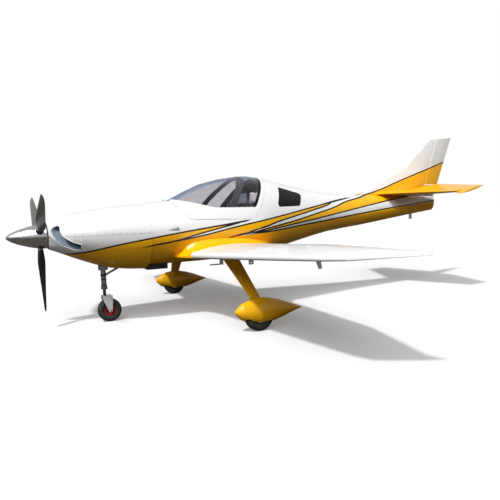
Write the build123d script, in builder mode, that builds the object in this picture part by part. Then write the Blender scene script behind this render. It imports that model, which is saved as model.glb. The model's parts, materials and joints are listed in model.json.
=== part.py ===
from build123d import *
from collections import namedtuple
from math import cos, radians, sin
import os

os.makedirs("parts", exist_ok=True)

# Frame: X aft, Y starboard, Z up. A station is the distance aft of the spinner tip.
LENGTH = 7255.0
MID = LENGTH / 2
REACH = 4000.0
TALL = 3000.0
FIT = 0.3
GAP = 6.0

# Body sections, each an upper and a lower half oval that meet at the widest line
Hull = namedtuple("Hull", "station half_width top bottom widest")
COWL_ROWS = [
    Hull(465, 165, 1308, 983, 1145),
    Hull(600, 330, 1366, 928, 1145),
    Hull(820, 430, 1412, 830, 1145),
    Hull(1200, 492, 1470, 698, 1145),
    Hull(1625, 542, 1499, 655, 1145),
]
DECK_ROWS = [
    Hull(1625, 542, 1499, 700, 1145),
    Hull(2030, 570, 1540, 700, 1160),
]
CABIN_ROWS = [
    Hull(2030, 570, 1540, 700, 1160),
    Hull(2480, 600, 1746, 705, 1180),
    Hull(3030, 598, 1847, 722, 1200),
    Hull(3312, 570, 1833, 748, 1208),
    Hull(3866, 466, 1712, 858, 1230),
    Hull(4537, 340, 1586, 995, 1250),
    Hull(5234, 250, 1545, 1070, 1280),
    Hull(6207, 150, 1536, 1191, 1350),
    Hull(6825, 70, 1530, 1262, 1396),
]
HULL_WALL = 11.0
SPAN_STEPS = 2
COWL_WALL = 12.0
TAIL_CLOSURE = 60.0
COWL_SPLIT_Z = 1145.0

# Side outlines as station and height pairs
CANOPY_OUTLINE = [
    (1990, 2000), (1990, 1505), (2120, 1300), (2208, 1288), (2931, 1268),
    (3000, 1276), (3125, 1400), (3380, 1850), (3380, 2000),
]
GLASS_OUTLINE = [
    (2040, 2000), (2040, 1545), (2470, 1427), (3056, 1415), (3304, 1790), (3335, 2000),
]
BOW_OUTLINE = [(2560, 1290), (2650, 1290), (3138, 1900), (3048, 1900)]
QUARTER_OUTLINE = [(3410, 1407), (3544, 1684), (3928, 1580), (3826, 1409)]
GLARESHIELD_OUTLINE = [(2000, 1490), (2330, 1425), (2345, 1405), (2320, 1393), (2000, 1458)]
SEAT_OUTLINE = [
    (2560, 812), (2560, 925), (2600, 945), (2960, 905), (3180, 1460), (3195, 1630), (3280, 1630),
    (3290, 1470), (3080, 812),
]
PEDESTAL_OUTLINE = [(2312, 812), (2312, 1110), (2420, 1010), (3000, 960), (3000, 812)]
GLASS_CORNER = 60.0
QUARTER_CORNER = 36.0
BOW_DEPTH = 26.0
INSIDE_CLEAR = 10.0

# Cabin plates, each cut to the inner skin
FIREWALL_THICK = 6.0
FLOOR_Z = 800.0
FLOOR_THICK = 12.0
BULKHEAD_STATION = 3960.0
PANEL_STATION = 2300.0
PANEL_THICK = 12.0
PANEL_LOW = 1100.0
PANEL_SILL = 1262.0
PANEL_TOP = 1400.0
SEAT_Y = 232.0
SEAT_WIDTH = 390.0
PEDESTAL_WIDTH = 56.0
STICK_STATION = 2480.0
STICK_R = 11.0
STICK_TOP = 1120.0
GRIP_R = 19.0
GRIP_LENGTH = 110.0

# Canopy hinge at the front lip
LIP_STATION = 1986.0
LIP_Z = 1536.0
LUG_Y = 90.0
LUG_WIDTH = 24.0
LUG_R = 11.0
LUG_REACH = 28.0
CHEEK_WIDTH = 14.0
CHEEK_GAP = 0.5
HINGE_PIN_R = 5.0
CANOPY_GAP = 5.0

# Engine, shaft and propeller
THRUST_Z = 1145.0
ENGINE_FRONT = 800.0
ENGINE_REAR = 1540.0
ENGINE_WIDTH = 640.0
ENGINE_LOW = 970.0
ENGINE_TOP = 1298.0
MOUNT_R = 16.0
MOUNT_Y = 230.0
MOUNT_Z = 110.0
SHAFT_R = 30.0
SHAFT_FRONT = 330.0
PROP_STATION = 377.0
PROP_R = 923.0
BLADE_COUNT = 3
BLADE_ROOT_R = 34.0
BLADE_SEAT = 62.0
BLADE_NECK = 150.0
HUB_R = 82.0
HUB_HALF = 46.0
SPINNER_BASE = 445.0
SPINNER_R = 150.0
SPINNER_WALL = 6.0
SPINNER_PROFILE = [
    (4, 11), (22, 29), (60, 53), (120, 80), (190, 104), (270, 126), (350, 141), (SPINNER_BASE, SPINNER_R),
]
SPINNER_INSIDE = [(300, 124), (120, 72), (40, 0)]
SPINNER_HOLE_R = 62.0
BACKPLATE_THICK = 8.0
Blade = namedtuple("Blade", "radius chord thick pitch")
BLADE_ROWS = [
    Blade(150, 72, 58, 52),
    Blade(330, 150, 30, 40),
    Blade(640, 146, 17, 25),
    Blade(860, 112, 10, 19),
    Blade(923, 62, 6, 17),
]

# Cooling inlets, outlet and nose gear fairing
INLET_Y = 292.0
INLET_Z = 1122.0
INLET_LENGTH = 230.0
INLET_WIDTH = 96.0
INLET_TILT = 121.0
INLET_DEPTH = 330.0
OUTLET_FRONT = 1640.0
OUTLET_REAR = 1913.0
OUTLET_HALF = 185.0
OUTLET_LOW = 650.0
OUTLET_TOP = 800.0
OUTLET_WALL = 8.0
FAIRING_FRONT = 1048.0
FAIRING_REAR = 1164.0
FAIRING_HALF = 50.0
FAIRING_LOW = 678.0
FAIRING_TOP = 900.0
FAIRING_CORNER = 30.0

# Wing sections, starboard side; port is its mirror image
DIHEDRAL = 0.064
WING_Z_LEAD = 835.0
WING_Z_TRAIL = 872.0
WING_ROOT_Y = 665.0
Plan = namedtuple("Plan", "y lead trail")
WING_PLAN = [
    Plan(300, 2021, 3290),
    Plan(2457, 2188, 3144),
    Plan(3200, 2246, 2936),
    Plan(3434, 2312, 2866),
    Plan(3573, 2501, 2830),
    Plan(3713, 2736, 2842),
    Plan(3766, 2862, 2884),
]
UPPER_NOSE = 0.041
UPPER_SWEEP = 77.0
LOWER_NOSE = 0.026
LOWER_SWEEP = 83.0
TAIL_NOSE = 0.013
TAIL_SWEEP = 84.0
TRAIL_HALF = 0.004

# Fillet between body and wing, starboard side: from a point in the body's side to one in the wing's top
Root = namedtuple("Root", "station y_body z_body y_wing z_wing z_low")
ROOT_ROWS = [
    Root(1930, 380, 850, 400, 835, 815),
    Root(2000, 455, 905, 560, 836, 815),
    Root(2060, 500, 965, 720, 846, 820),
    Root(2150, 533, 1015, 730, 900, 840),
    Root(2300, 553, 1045, 715, 929, 850),
    Root(2500, 564, 1055, 700, 952, 870),
    Root(2800, 558, 1045, 680, 953, 880),
    Root(3000, 538, 1020, 665, 930, 870),
    Root(3150, 508, 990, 655, 902, 860),
    Root(3250, 476, 965, 640, 877, 865),
    Root(3400, 380, 905, 395, 890, 870),
]
ROOT_INSIDE = 250.0
ROOT_HOLLOW = 0.3

# Tailplane and fin sections
TAIL_Z = 1560.0
TAIL_PLAN = [
    Plan(0, 5525, 6845),
    Plan(1180, 6085, 6560),
    Plan(1288, 6110, 6538),
]
Fin = namedtuple("Fin", "z lead trail")
FIN_ROWS = [
    Fin(1470, 5080, 6861),
    Fin(1542, 5234, 6889),
    Fin(1975, 6210, 7055),
    Fin(2208, 6474, 7145),
    Fin(2446, 6743, 7236),
    Fin(2510, 6815, 7261),
]
FIN_TOP_LEAD = (6743, 2446)
FIN_TOP_TRAIL = (7255, 2495)
CAP_REACH = 1000.0

# Hinged surfaces: axis ends, nose radii there, largest swing, gap at the ends and the slab of the bay
Hinge = namedtuple("Hinge", "start end r_start r_end swing end_gap low high")
FLAP = Hinge((2997, 690, 880), (2935, 2425, 988), 54, 43, 35, 6, (2600, 690, 500), (3600, 2425, 1400))
AILERON = Hinge((2930, 2475, 991), (2740, 3390, 1045), 42, 27, 20, 6, (2500, 2475, 500), (3600, 3390, 1400))
ELEVATOR = Hinge((6230, 60, 1560), (6230, 1174, 1560), 40, 17, 28, 6, (5500, 75, 1300), (7000, 1400, 1900))
RUDDER = Hinge((6640, 0, 1706), (6908, 0, 2451), 36, 17, 30, 13, (6000, -300, 1700), (7400, 300, 2700))
PIN_R = 6.0
PIN_OVERRUN = 24.0
CHORD_REACH = 700.0
BAY_REACH = 400.0
ELEVATOR_REST = 14.0
ELEVATOR_INNER = [(6100, 0), (6100, 100), (6310, 100), (6900, 208), (6900, 0)]
HORN_Y = 1180.0
SURFACE_HEIGHT = 400.0
CAVITY_INSET = 0.1
CAVITY_VENT_R = 30.0
CAVITY_BACK = 110.0
TAIL_VENT_STATION = 5950.0
FIN_CAVITY_TOP = 2380.0
FIN_CAVITY_LOW = 1640.0
FIN_VENT_STATION = 6150.0
FIN_VENT_R = 15.0
ELEVATOR_CAVITY_FRONT = 58.0
ELEVATOR_CAVITY_IN = 150.0
ELEVATOR_VENT_R = 12.0
ELEVATOR_VENT_BACK = 84.0

# Main gear, one side
TRACK_HALF = 1500.0
MAIN_STATION = 2555.0
MAIN_R = 172.0
MAIN_WIDTH = 126.0
MAIN_RIM = 66.0
AXLE_R = 14.0
AXLE_END = 1566.0
LEG_Y = 1412.0
Leg = namedtuple("Leg", "z station y chord thick")
LEG_ROWS = [
    Leg(850, 2472, 888, 226, 62),
    Leg(385, 2553, LEG_Y, 134, 36),
    Leg(130, 2555, LEG_Y, 112, 26),
]
PANT_WALL = 8.0
PANT_ROWS = [
    Hull(2251, 12, 256, 232, 244),
    Hull(2330, 72, 330, 148, 236),
    Hull(2549, 110, 389, 67, 226),
    Hull(2800, 88, 350, 112, 222),
    Hull(3000, 44, 274, 172, 218),
    Hull(3134, 8, 222, 208, 215),
]
PANT_OPEN_HALF = 190.0
PANT_OPEN_WIDTH = 150.0
PANT_OPEN_TOP = 162.0
PANT_FRONT = [(2417, 378), (2603, 91), (2700, -60), (1500, -60), (1500, 900), (2078, 900)]
PANT_UNDER = -10.0

# Wheel section, as shares of the tyre's width and of its wall height
SEAT_SHARE = 0.36
BULGE_SHARE = 0.45
SHOULDER_SHARE = 0.43
SHOULDER_DROP = 0.18
TREAD_SHARE = 0.24
RIM_WALL = 12.0
RIM_HOLLOW_SHARE = 0.5
WEB_SHARE = 0.16
BOSS_WALL = 14.0

# Nose gear
STEER_STATION = 1105.0
NOSE_STATION = 1155.0
NOSE_R = 152.0
NOSE_WIDTH = 100.0
NOSE_RIM = 64.0
NOSE_AXLE_R = 10.0
STRUT_R = 33.0
STRUT_LOW = 427.0
STRUT_HOLE_LOW = 600.0
COLLAR_R = 41.0
COLLAR_HEIGHT = 34.0
PISTON_R = 20.0
PISTON_TOP = 640.0
BORE_TOP = 650.0
CROWN_LOW = 311.0
CROWN_TOP = 344.0
CROWN_FRONT = 1068.0
CROWN_REAR = 1192.0
FORK_INNER = 60.0
FORK_THICK = 12.0
FORK_LOW_R = 24.0
FORK_CHEEK_REAR = 271.0
FORK_CHEEK_FRONT = 301.0
NOSE_AXLE_PROUD = 8.0
BRACE_R = 14.0
BRACE_LOW = (1130, 612)
BRACE_HIGH = (1330, 708)

# Small fittings under the wings
PITOT_Y = 1127.0
PITOT_STATION = 2270.0
PITOT_Z = 767.0
PITOT_TIP = 2121.0
PITOT_R = 8.0
PITOT_CHORD = 46.0
PITOT_THICK = 10.0
LUG_STATION = 2582.0
TIE_Y = 1290.0
TIE_LENGTH = 62.0
TIE_LOW = 752.0
TIE_THICK = 10.0
TIE_HOLE_R = 9.0
TIE_HOLE_Z = 774.0
FITTING_TOP = 900.0
BLADE_FITTING_Y = 2250.0
BLADE_FITTING_OUTLINE = [(2795, 960), (2880, 960), (2915, 772), (2875, 772)]
BLADE_FITTING_THICK = 8.0
TAIL_TIE_STATION = 6350.0
TAIL_TIE_LOW = 1120.0
TAIL_TIE_TOP = 1300.0
TAIL_TIE_HOLE_Z = 1142.0

SIDE = Plane.XZ


def place(station, y, z):
    """Point of the frame from a station."""
    return (station - MID, y, z)


def across(station, z):
    """Upright plane across the body, local x to starboard and local y up."""
    return Plane(origin=place(station, 0, z), x_dir=(0, 1, 0), z_dir=(1, 0, 0))


def eased(rows):
    """The rows with smooth rows between them, so that straight spans follow a fair curve."""
    full = []
    for index in range(len(rows) - 1):
        near, far = rows[index], rows[index + 1]
        before = rows[max(index - 1, 0)]
        after = rows[min(index + 2, len(rows) - 1)]
        span = far.station - near.station
        for step in range(SPAN_STEPS):
            t = step / SPAN_STEPS
            columns = []
            for a, b, c, d in zip(before, near, far, after):
                slope_near = (c - a) / (far.station - before.station) * span
                slope_far = (d - b) / (after.station - near.station) * span
                bend_near = slope_near - (c - b)
                bend_far = (c - b) - slope_far
                columns.append(b + t * (c - b) + t * (1 - t) * ((1 - t) * bend_near + t * bend_far))
            full.append(Hull(*columns))
    full.append(rows[-1])
    return full


def hull(rows, inset=0.0, y=0.0):
    """Loft through oval sections, drawn in by the inset."""
    with BuildPart() as body:
        for row in eased(rows):
            plane = Plane(origin=place(row.station, y, row.widest), x_dir=(0, 1, 0), z_dir=(1, 0, 0))
            with BuildSketch(plane):
                with BuildLine():
                    EllipticalCenterArc(
                        (0, 0), row.half_width - inset, row.top - row.widest - inset,
                        start_angle=0, arc_size=180,
                    )
                    EllipticalCenterArc(
                        (0, 0), row.half_width - inset, row.widest - row.bottom - inset,
                        start_angle=180, arc_size=180,
                    )
                make_face()
        loft(ruled=True)
    return body.part


def prism(outline, half_width=REACH, corner=0.0, grow=0.0):
    """Side outline carried across the body, both ways from the centre plane."""
    points = [(station - MID, z) for station, z in outline]
    with BuildPart() as body:
        with BuildSketch(SIDE) as face:
            with BuildLine():
                Polyline(*points, close=True)
            make_face()
            if corner > 0:
                fillet(face.vertices(), corner)
            if grow > 0:
                offset(amount=grow, kind=Kind.INTERSECTION)
        extrude(amount=half_width, both=True)
    return body.part


def block(low, high):
    """Box between two corners given by station, y and z."""
    size = [b - a for a, b in zip(low, high)]
    with BuildPart() as body:
        with Locations(place(*low)):
            Box(*size, align=(Align.MIN, Align.MIN, Align.MIN))
    return body.part


def rod(start, end, radius):
    """Round bar between two points given by station, y and z."""
    a = Vector(*place(*start))
    b = Vector(*place(*end))
    with BuildPart(Plane(origin=a, z_dir=b - a)) as body:
        Cylinder(radius, (b - a).length, align=(Align.CENTER, Align.CENTER, Align.MIN))
    return body.part


def common(first, *others):
    """What all the given solids share."""
    with BuildPart() as body:
        add(first)
        for other in others:
            add(other, mode=Mode.INTERSECT)
    return body.part


def without(first, *others):
    """The first solid with the others cut away."""
    with BuildPart() as body:
        add(first)
        for other in others:
            add(other, mode=Mode.SUBTRACT)
    return body.part


def mirrored(piece):
    """Mirror image on the port side."""
    with BuildPart() as body:
        add(piece)
        mirror(about=Plane.XZ, mode=Mode.REPLACE)
    return body.part


def foils(sections, upper, lower):
    """Ruled loft through aerofoils; a section is a plane on its nose and a chord."""
    with BuildPart() as body:
        for plane, chord in sections:
            with BuildSketch(plane):
                with BuildLine():
                    top = CenterArc((upper[0] * chord, 0), upper[0] * chord, 180, -upper[1])
                    back = TangentArc(top @ 1, (chord, TRAIL_HALF * chord), tangent=top % 1)
                    low = CenterArc((lower[0] * chord, 0), lower[0] * chord, 180, lower[1])
                    under = TangentArc(low @ 1, (chord, -TRAIL_HALF * chord), tangent=low % 1)
                    Line(back @ 1, under @ 1)
                make_face()
        loft(ruled=True)
    return body.part


def hinge_frame(hinge):
    """Plane on the hinge axis: local z along it, local x aft."""
    a = Vector(*place(*hinge.start))
    b = Vector(*place(*hinge.end))
    along = (b - a).normalized()
    aft = Vector(1, 0, 0) - along * along.X
    return Plane(origin=a, x_dir=aft, z_dir=along), (b - a).length


def bay(hinge, grow=0.0, ends=0.0):
    """Room of a hinged surface: everything aft of its axis and a round nose, grown by the gaps."""
    frame, length = hinge_frame(hinge)
    slope = (hinge.r_end - hinge.r_start) / length
    back = hinge.r_start * sin(radians(hinge.swing)) + grow if grow > 0 else 0.0
    base = hinge.r_start - slope * PIN_OVERRUN + grow
    tip = hinge.r_end + slope * PIN_OVERRUN + grow
    low = [edge - ends for edge in hinge.low]
    high = [edge + ends for edge in hinge.high]
    with BuildPart(frame) as room:
        with Locations((-back, 0, -BAY_REACH)):
            Box(
                CHORD_REACH, SURFACE_HEIGHT, length + 2 * BAY_REACH,
                align=(Align.MIN, Align.CENTER, Align.MIN),
            )
        with Locations((0, 0, -PIN_OVERRUN)):
            Cone(base, tip, length + 2 * PIN_OVERRUN, align=(Align.CENTER, Align.CENTER, Align.MIN))
    return common(room.part, block(low, high))


def hinge_pin(hinge, radius):
    """Round bar along the hinge axis, past both ends of the bay."""
    frame, length = hinge_frame(hinge)
    with BuildPart(frame) as bar:
        with Locations((0, 0, -PIN_OVERRUN)):
            Cylinder(radius, length + 2 * PIN_OVERRUN, align=(Align.CENTER, Align.CENTER, Align.MIN))
    return bar.part


def wheel(station, y, radius, width, rim, bore):
    """Tyre and hub about a cross axle, as two separate solids."""
    half = width / 2
    seat = SEAT_SHARE * width
    bulge = rim + BULGE_SHARE * (radius - rim)
    shoulder = radius - SHOULDER_DROP * (radius - rim)
    shoulder_half = SHOULDER_SHARE * width
    tread_half = TREAD_SHARE * width
    plane = Plane(origin=place(station, y, radius), x_dir=(1, 0, 0), z_dir=(0, 1, 0))
    with BuildPart() as tyre:
        with BuildSketch(Plane(origin=plane.origin, x_dir=(1, 0, 0), z_dir=(0, 0, 1))):
            with BuildLine():
                Polyline(
                    (rim, -seat), (rim, seat), (bulge, half), (shoulder, shoulder_half), (radius, tread_half),
                    (radius, -tread_half), (shoulder, -shoulder_half), (bulge, -half), close=True,
                )
            make_face()
        revolve(axis=Axis(plane.origin, (0, 1, 0)))
    with BuildPart(plane) as hub:
        Cylinder(rim, 2 * seat)
        Cylinder(rim - RIM_WALL, RIM_HOLLOW_SHARE * width, mode=Mode.SUBTRACT)
        Cylinder(rim - RIM_WALL, WEB_SHARE * width)
        Cylinder(bore + BOSS_WALL, 2 * seat)
        Cylinder(bore, width, mode=Mode.SUBTRACT)
    return tyre.part, hub.part


def keep(piece, name):
    """Name a finished piece and write it out."""
    piece.label = name
    export_step(piece, f"parts/{name}.step")


# Body: outer form, inner room and the skin between them
with BuildPart() as outer_form:
    add(hull(DECK_ROWS))
    add(hull(CABIN_ROWS))
with BuildPart() as inner_room:
    add(hull(DECK_ROWS, HULL_WALL))
    add(hull(CABIN_ROWS, HULL_WALL))
with BuildPart() as clear_room:
    add(hull(DECK_ROWS, HULL_WALL + INSIDE_CLEAR))
    add(hull(CABIN_ROWS, HULL_WALL + INSIDE_CLEAR))
with BuildPart() as bow_room:
    add(hull(CABIN_ROWS, HULL_WALL + BOW_DEPTH))
tail_stop = block((CABIN_ROWS[-1].station - TAIL_CLOSURE, -REACH, 0), (LENGTH, REACH, TALL))
hollow = without(inner_room.part, tail_stop)
skin = without(outer_form.part, hollow)

canopy_prism = prism(CANOPY_OUTLINE)
canopy_hole = prism(CANOPY_OUTLINE, grow=CANOPY_GAP)
glass_prism = prism(GLASS_OUTLINE, corner=GLASS_CORNER)
quarter_prism = prism(QUARTER_OUTLINE, corner=QUARTER_CORNER)
bow_prism = prism(BOW_OUTLINE)

cheek_inner = LUG_WIDTH / 2 + CHEEK_GAP
cheek_outer = cheek_inner + CHEEK_WIDTH
with BuildPart() as canopy_hinge_brackets:
    for side in (-1, 1):
        for edge in (-1, 1):
            y_near = side * LUG_Y + edge * cheek_inner
            y_far = side * LUG_Y + edge * cheek_outer
            add(rod((LIP_STATION, y_near, LIP_Z), (LIP_STATION, y_far, LIP_Z), LUG_R))
        add(
            rod(
                (LIP_STATION, side * LUG_Y - cheek_outer, LIP_Z),
                (LIP_STATION, side * LUG_Y + cheek_outer, LIP_Z),
                HINGE_PIN_R,
            )
        )
with BuildPart() as hinge_notch:
    for side in (-1, 1):
        y_low = side * LUG_Y - cheek_outer - CANOPY_GAP
        y_high = side * LUG_Y + cheek_outer + CANOPY_GAP
        add(rod((LIP_STATION, y_low, LIP_Z), (LIP_STATION, y_high, LIP_Z), LUG_R + CANOPY_GAP))
with BuildPart() as lug_notch:
    for side in (-1, 1):
        y_low = side * LUG_Y - cheek_inner
        y_high = side * LUG_Y + cheek_inner
        add(rod((LIP_STATION, y_low, LIP_Z), (LIP_STATION, y_high, LIP_Z), LUG_R + CANOPY_GAP))

with BuildPart() as fuselage_shell:
    add(skin)
    add(canopy_hole, mode=Mode.SUBTRACT)
    add(quarter_prism, mode=Mode.SUBTRACT)
    add(lug_notch.part, mode=Mode.SUBTRACT)
    add(canopy_hinge_brackets.part, mode=Mode.SUBTRACT)

canopy_skin = common(skin, canopy_prism)
with BuildPart() as canopy_frame:
    add(canopy_skin)
    add(glass_prism, mode=Mode.SUBTRACT)
    add(without(common(inner_room.part, bow_prism), bow_room.part))
    add(hinge_notch.part, mode=Mode.SUBTRACT)
    for side in (-1, 1):
        y_low = side * LUG_Y - LUG_WIDTH / 2
        y_high = side * LUG_Y + LUG_WIDTH / 2
        add(rod((LIP_STATION, y_low, LIP_Z), (LIP_STATION, y_high, LIP_Z), LUG_R))
        add(block((LIP_STATION, y_low, LIP_Z - LUG_R), (LIP_STATION + LUG_REACH, y_high, LIP_Z)))
        add(
            rod((LIP_STATION, y_low, LIP_Z), (LIP_STATION, y_high, LIP_Z), HINGE_PIN_R + FIT),
            mode=Mode.SUBTRACT,
        )
canopy_glass = common(canopy_skin, glass_prism)
quarter_windows = common(skin, quarter_prism)

# Cabin
firewall = common(
    inner_room.part,
    block((DECK_ROWS[0].station, -REACH, 0), (DECK_ROWS[0].station + FIREWALL_THICK, REACH, TALL)),
)
cabin_floor = common(
    inner_room.part,
    block(
        (DECK_ROWS[0].station + FIREWALL_THICK, -REACH, FLOOR_Z),
        (BULKHEAD_STATION, REACH, FLOOR_Z + FLOOR_THICK),
    ),
)
rear_bulkhead = common(
    inner_room.part,
    block((BULKHEAD_STATION, -REACH, 0), (BULKHEAD_STATION + FLOOR_THICK, REACH, TALL)),
)
with BuildPart() as instrument_panel:
    add(
        common(
            inner_room.part,
            block((PANEL_STATION, -REACH, PANEL_LOW), (PANEL_STATION + PANEL_THICK, REACH, PANEL_SILL)),
        )
    )
    add(
        common(
            clear_room.part,
            block((PANEL_STATION, -REACH, PANEL_SILL), (PANEL_STATION + PANEL_THICK, REACH, PANEL_TOP)),
        )
    )
    add(common(clear_room.part, prism(GLARESHIELD_OUTLINE)))
with BuildPart() as seats:
    for side in (-1, 1):
        half = prism(SEAT_OUTLINE, SEAT_WIDTH / 2)
        with Locations((0, side * SEAT_Y, 0)):
            add(half)
    add(clear_room.part, mode=Mode.INTERSECT)
pedestal = without(prism(PEDESTAL_OUTLINE, PEDESTAL_WIDTH / 2), seats.part)
with BuildPart() as control_sticks:
    for side in (-1, 1):
        base = (STICK_STATION, side * SEAT_Y, FLOOR_Z + FLOOR_THICK)
        top = (STICK_STATION, side * SEAT_Y, STICK_TOP)
        grip = (STICK_STATION, side * SEAT_Y, STICK_TOP - GRIP_LENGTH)
        add(rod(base, top, STICK_R))
        add(rod(grip, top, GRIP_R))

# Cowling, engine and outlet
cowl_outer = hull(COWL_ROWS)
cowl_skin = without(cowl_outer, hull(COWL_ROWS, COWL_WALL))
with BuildPart() as inlets:
    with BuildSketch(across(COWL_ROWS[0].station, 0)):
        for side in (-1, 1):
            with Locations((side * INLET_Y, INLET_Z)):
                SlotOverall(INLET_LENGTH + INLET_WIDTH, INLET_WIDTH, rotation=90 + side * (INLET_TILT - 90))
    extrude(amount=INLET_DEPTH)
with BuildPart() as fairing_form:
    add(block((FAIRING_FRONT, -FAIRING_HALF, FAIRING_LOW), (FAIRING_REAR, FAIRING_HALF, FAIRING_TOP)))
    fillet(fairing_form.edges().filter_by(Axis.Z), FAIRING_CORNER)
strut_hole = rod((STEER_STATION, 0, STRUT_HOLE_LOW), (STEER_STATION, 0, ENGINE_LOW), STRUT_R)
brace_bar = rod((BRACE_LOW[0], 0, BRACE_LOW[1]), (BRACE_HIGH[0], 0, BRACE_HIGH[1]), BRACE_R)
nose_gear_fairing = without(fairing_form.part, cowl_outer, strut_hole)
upper_cowl = without(cowl_skin, inlets.part, block((0, -REACH, 0), (LENGTH, REACH, COWL_SPLIT_Z)))
cowl_above = block((0, -REACH, COWL_SPLIT_Z), (LENGTH, REACH, TALL))
lower_cowl = without(cowl_skin, inlets.part, cowl_above, strut_hole, brace_bar)
with BuildPart() as engine_block:
    add(block((ENGINE_FRONT, -ENGINE_WIDTH / 2, ENGINE_LOW), (ENGINE_REAR, ENGINE_WIDTH / 2, ENGINE_TOP)))
    add(rod((SHAFT_FRONT, 0, THRUST_Z), (ENGINE_FRONT, 0, THRUST_Z), SHAFT_R))
    for side in (-1, 1):
        for level in (-1, 1):
            y = side * MOUNT_Y
            z = THRUST_Z + level * MOUNT_Z
            add(rod((ENGINE_REAR, y, z), (DECK_ROWS[0].station, y, z), MOUNT_R))
outlet_duct = without(
    block((OUTLET_FRONT, -OUTLET_HALF, OUTLET_LOW), (OUTLET_REAR, OUTLET_HALF, OUTLET_TOP)),
    block(
        (OUTLET_FRONT - OUTLET_WALL, -OUTLET_HALF + OUTLET_WALL, OUTLET_LOW + OUTLET_WALL),
        (OUTLET_REAR + OUTLET_WALL, OUTLET_HALF - OUTLET_WALL, OUTLET_TOP),
    ),
    outer_form.part,
)

# Propeller
spinner_axis = Axis(place(0, 0, THRUST_Z), (1, 0, 0))
spinner_plane = Plane(origin=place(0, 0, THRUST_Z), x_dir=(1, 0, 0), z_dir=(0, -1, 0))
blade_turns = [180 + 360 / BLADE_COUNT * number for number in range(BLADE_COUNT)]
blade_places = [Location(place(PROP_STATION, 0, THRUST_Z), (turn, 0, 0)) for turn in blade_turns]
with BuildPart() as blade:
    for row in BLADE_ROWS:
        pitch = radians(row.pitch)
        plane = Plane(origin=(0, 0, row.radius), x_dir=(-sin(pitch), cos(pitch), 0), z_dir=(0, 0, 1))
        with BuildSketch(plane):
            with BuildLine():
                face = ThreePointArc((-row.chord / 2, 0), (0, row.thick / 2), (row.chord / 2, 0))
                ThreePointArc(face @ 1, (0, -row.thick / 2), face @ 0)
            make_face()
    loft(ruled=True)
    with Locations((0, 0, BLADE_SEAT)):
        Cylinder(BLADE_ROOT_R, BLADE_NECK - BLADE_SEAT, align=(Align.CENTER, Align.CENTER, Align.MIN))
with BuildPart() as blade_opening:
    with Locations((0, 0, BLADE_SEAT)):
        Cylinder(SPINNER_HOLE_R, 2 * BLADE_NECK, align=(Align.CENTER, Align.CENTER, Align.MIN))
with BuildPart() as blade_socket:
    with Locations((0, 0, BLADE_SEAT)):
        Cylinder(BLADE_ROOT_R, BLADE_NECK, align=(Align.CENTER, Align.CENTER, Align.MIN))
with BuildPart() as propeller_blades:
    with Locations(*blade_places):
        add(blade.part)
with BuildPart() as spinner:
    with BuildSketch(spinner_plane):
        with BuildLine():
            rear_lip = (SPINNER_BASE, SPINNER_R - SPINNER_WALL)
            Polyline((0, 0), *SPINNER_PROFILE, rear_lip, *SPINNER_INSIDE, close=True)
        make_face()
    revolve(axis=spinner_axis)
    with Locations(*blade_places):
        add(blade_opening.part, mode=Mode.SUBTRACT)
with BuildPart() as propeller_hub:
    add(rod((PROP_STATION - HUB_HALF, 0, THRUST_Z), (SPINNER_BASE, 0, THRUST_Z), HUB_R))
    add(rod((SPINNER_BASE, 0, THRUST_Z), (SPINNER_BASE + BACKPLATE_THICK, 0, THRUST_Z), SPINNER_R))
    add(rod((0, 0, THRUST_Z), (ENGINE_FRONT, 0, THRUST_Z), SHAFT_R + FIT), mode=Mode.SUBTRACT)
    with Locations(*blade_places):
        add(blade_socket.part, mode=Mode.SUBTRACT)

# Wing with flap and aileron, built for the starboard side
wing_sections = []
for row in WING_PLAN:
    rise = DIHEDRAL * (row.y - WING_ROOT_Y)
    lead = Vector(*place(row.lead, row.y, WING_Z_LEAD + rise))
    trail = Vector(*place(row.trail, row.y, WING_Z_TRAIL + rise))
    chord_plane = Plane(origin=lead, x_dir=trail - lead, z_dir=(0, -1, 0))
    wing_sections.append((chord_plane, (trail - lead).length))
wing_form = without(
    foils(wing_sections, (UPPER_NOSE, UPPER_SWEEP), (LOWER_NOSE, LOWER_SWEEP)), outer_form.part
)
with BuildPart() as wing_starboard:
    add(wing_form)
    add(bay(FLAP, GAP, FLAP.end_gap), mode=Mode.SUBTRACT)
    add(bay(AILERON, GAP, AILERON.end_gap), mode=Mode.SUBTRACT)
    add(hinge_pin(FLAP, PIN_R))
    add(hinge_pin(AILERON, PIN_R))
flap_starboard = without(common(wing_form, bay(FLAP)), hinge_pin(FLAP, PIN_R + FIT))
aileron_starboard = without(common(wing_form, bay(AILERON)), hinge_pin(AILERON, PIN_R + FIT))

# Fillet where the wing meets the body, hollowed to an arc and cut back to both skins
with BuildPart() as root_form:
    for row in ROOT_ROWS:
        width = row.y_wing - row.y_body
        height = row.z_body - row.z_wing
        hollow_point = (row.y_body + ROOT_HOLLOW * width, row.z_wing + ROOT_HOLLOW * height)
        with BuildSketch(across(row.station, 0)):
            with BuildLine():
                ThreePointArc((row.y_body, row.z_body), hollow_point, (row.y_wing, row.z_wing))
                Polyline(
                    (row.y_wing, row.z_wing), (row.y_wing, row.z_low), (ROOT_INSIDE, row.z_low),
                    (ROOT_INSIDE, row.z_body), (row.y_body, row.z_body),
                )
            make_face()
    loft(ruled=True)
root_fillet = without(root_form.part, outer_form.part, wing_form).solids().sort_by(SortBy.VOLUME)[-1]
with BuildPart() as wing_root_fairings:
    add(root_fillet)
    mirror(about=Plane.XZ)

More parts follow.
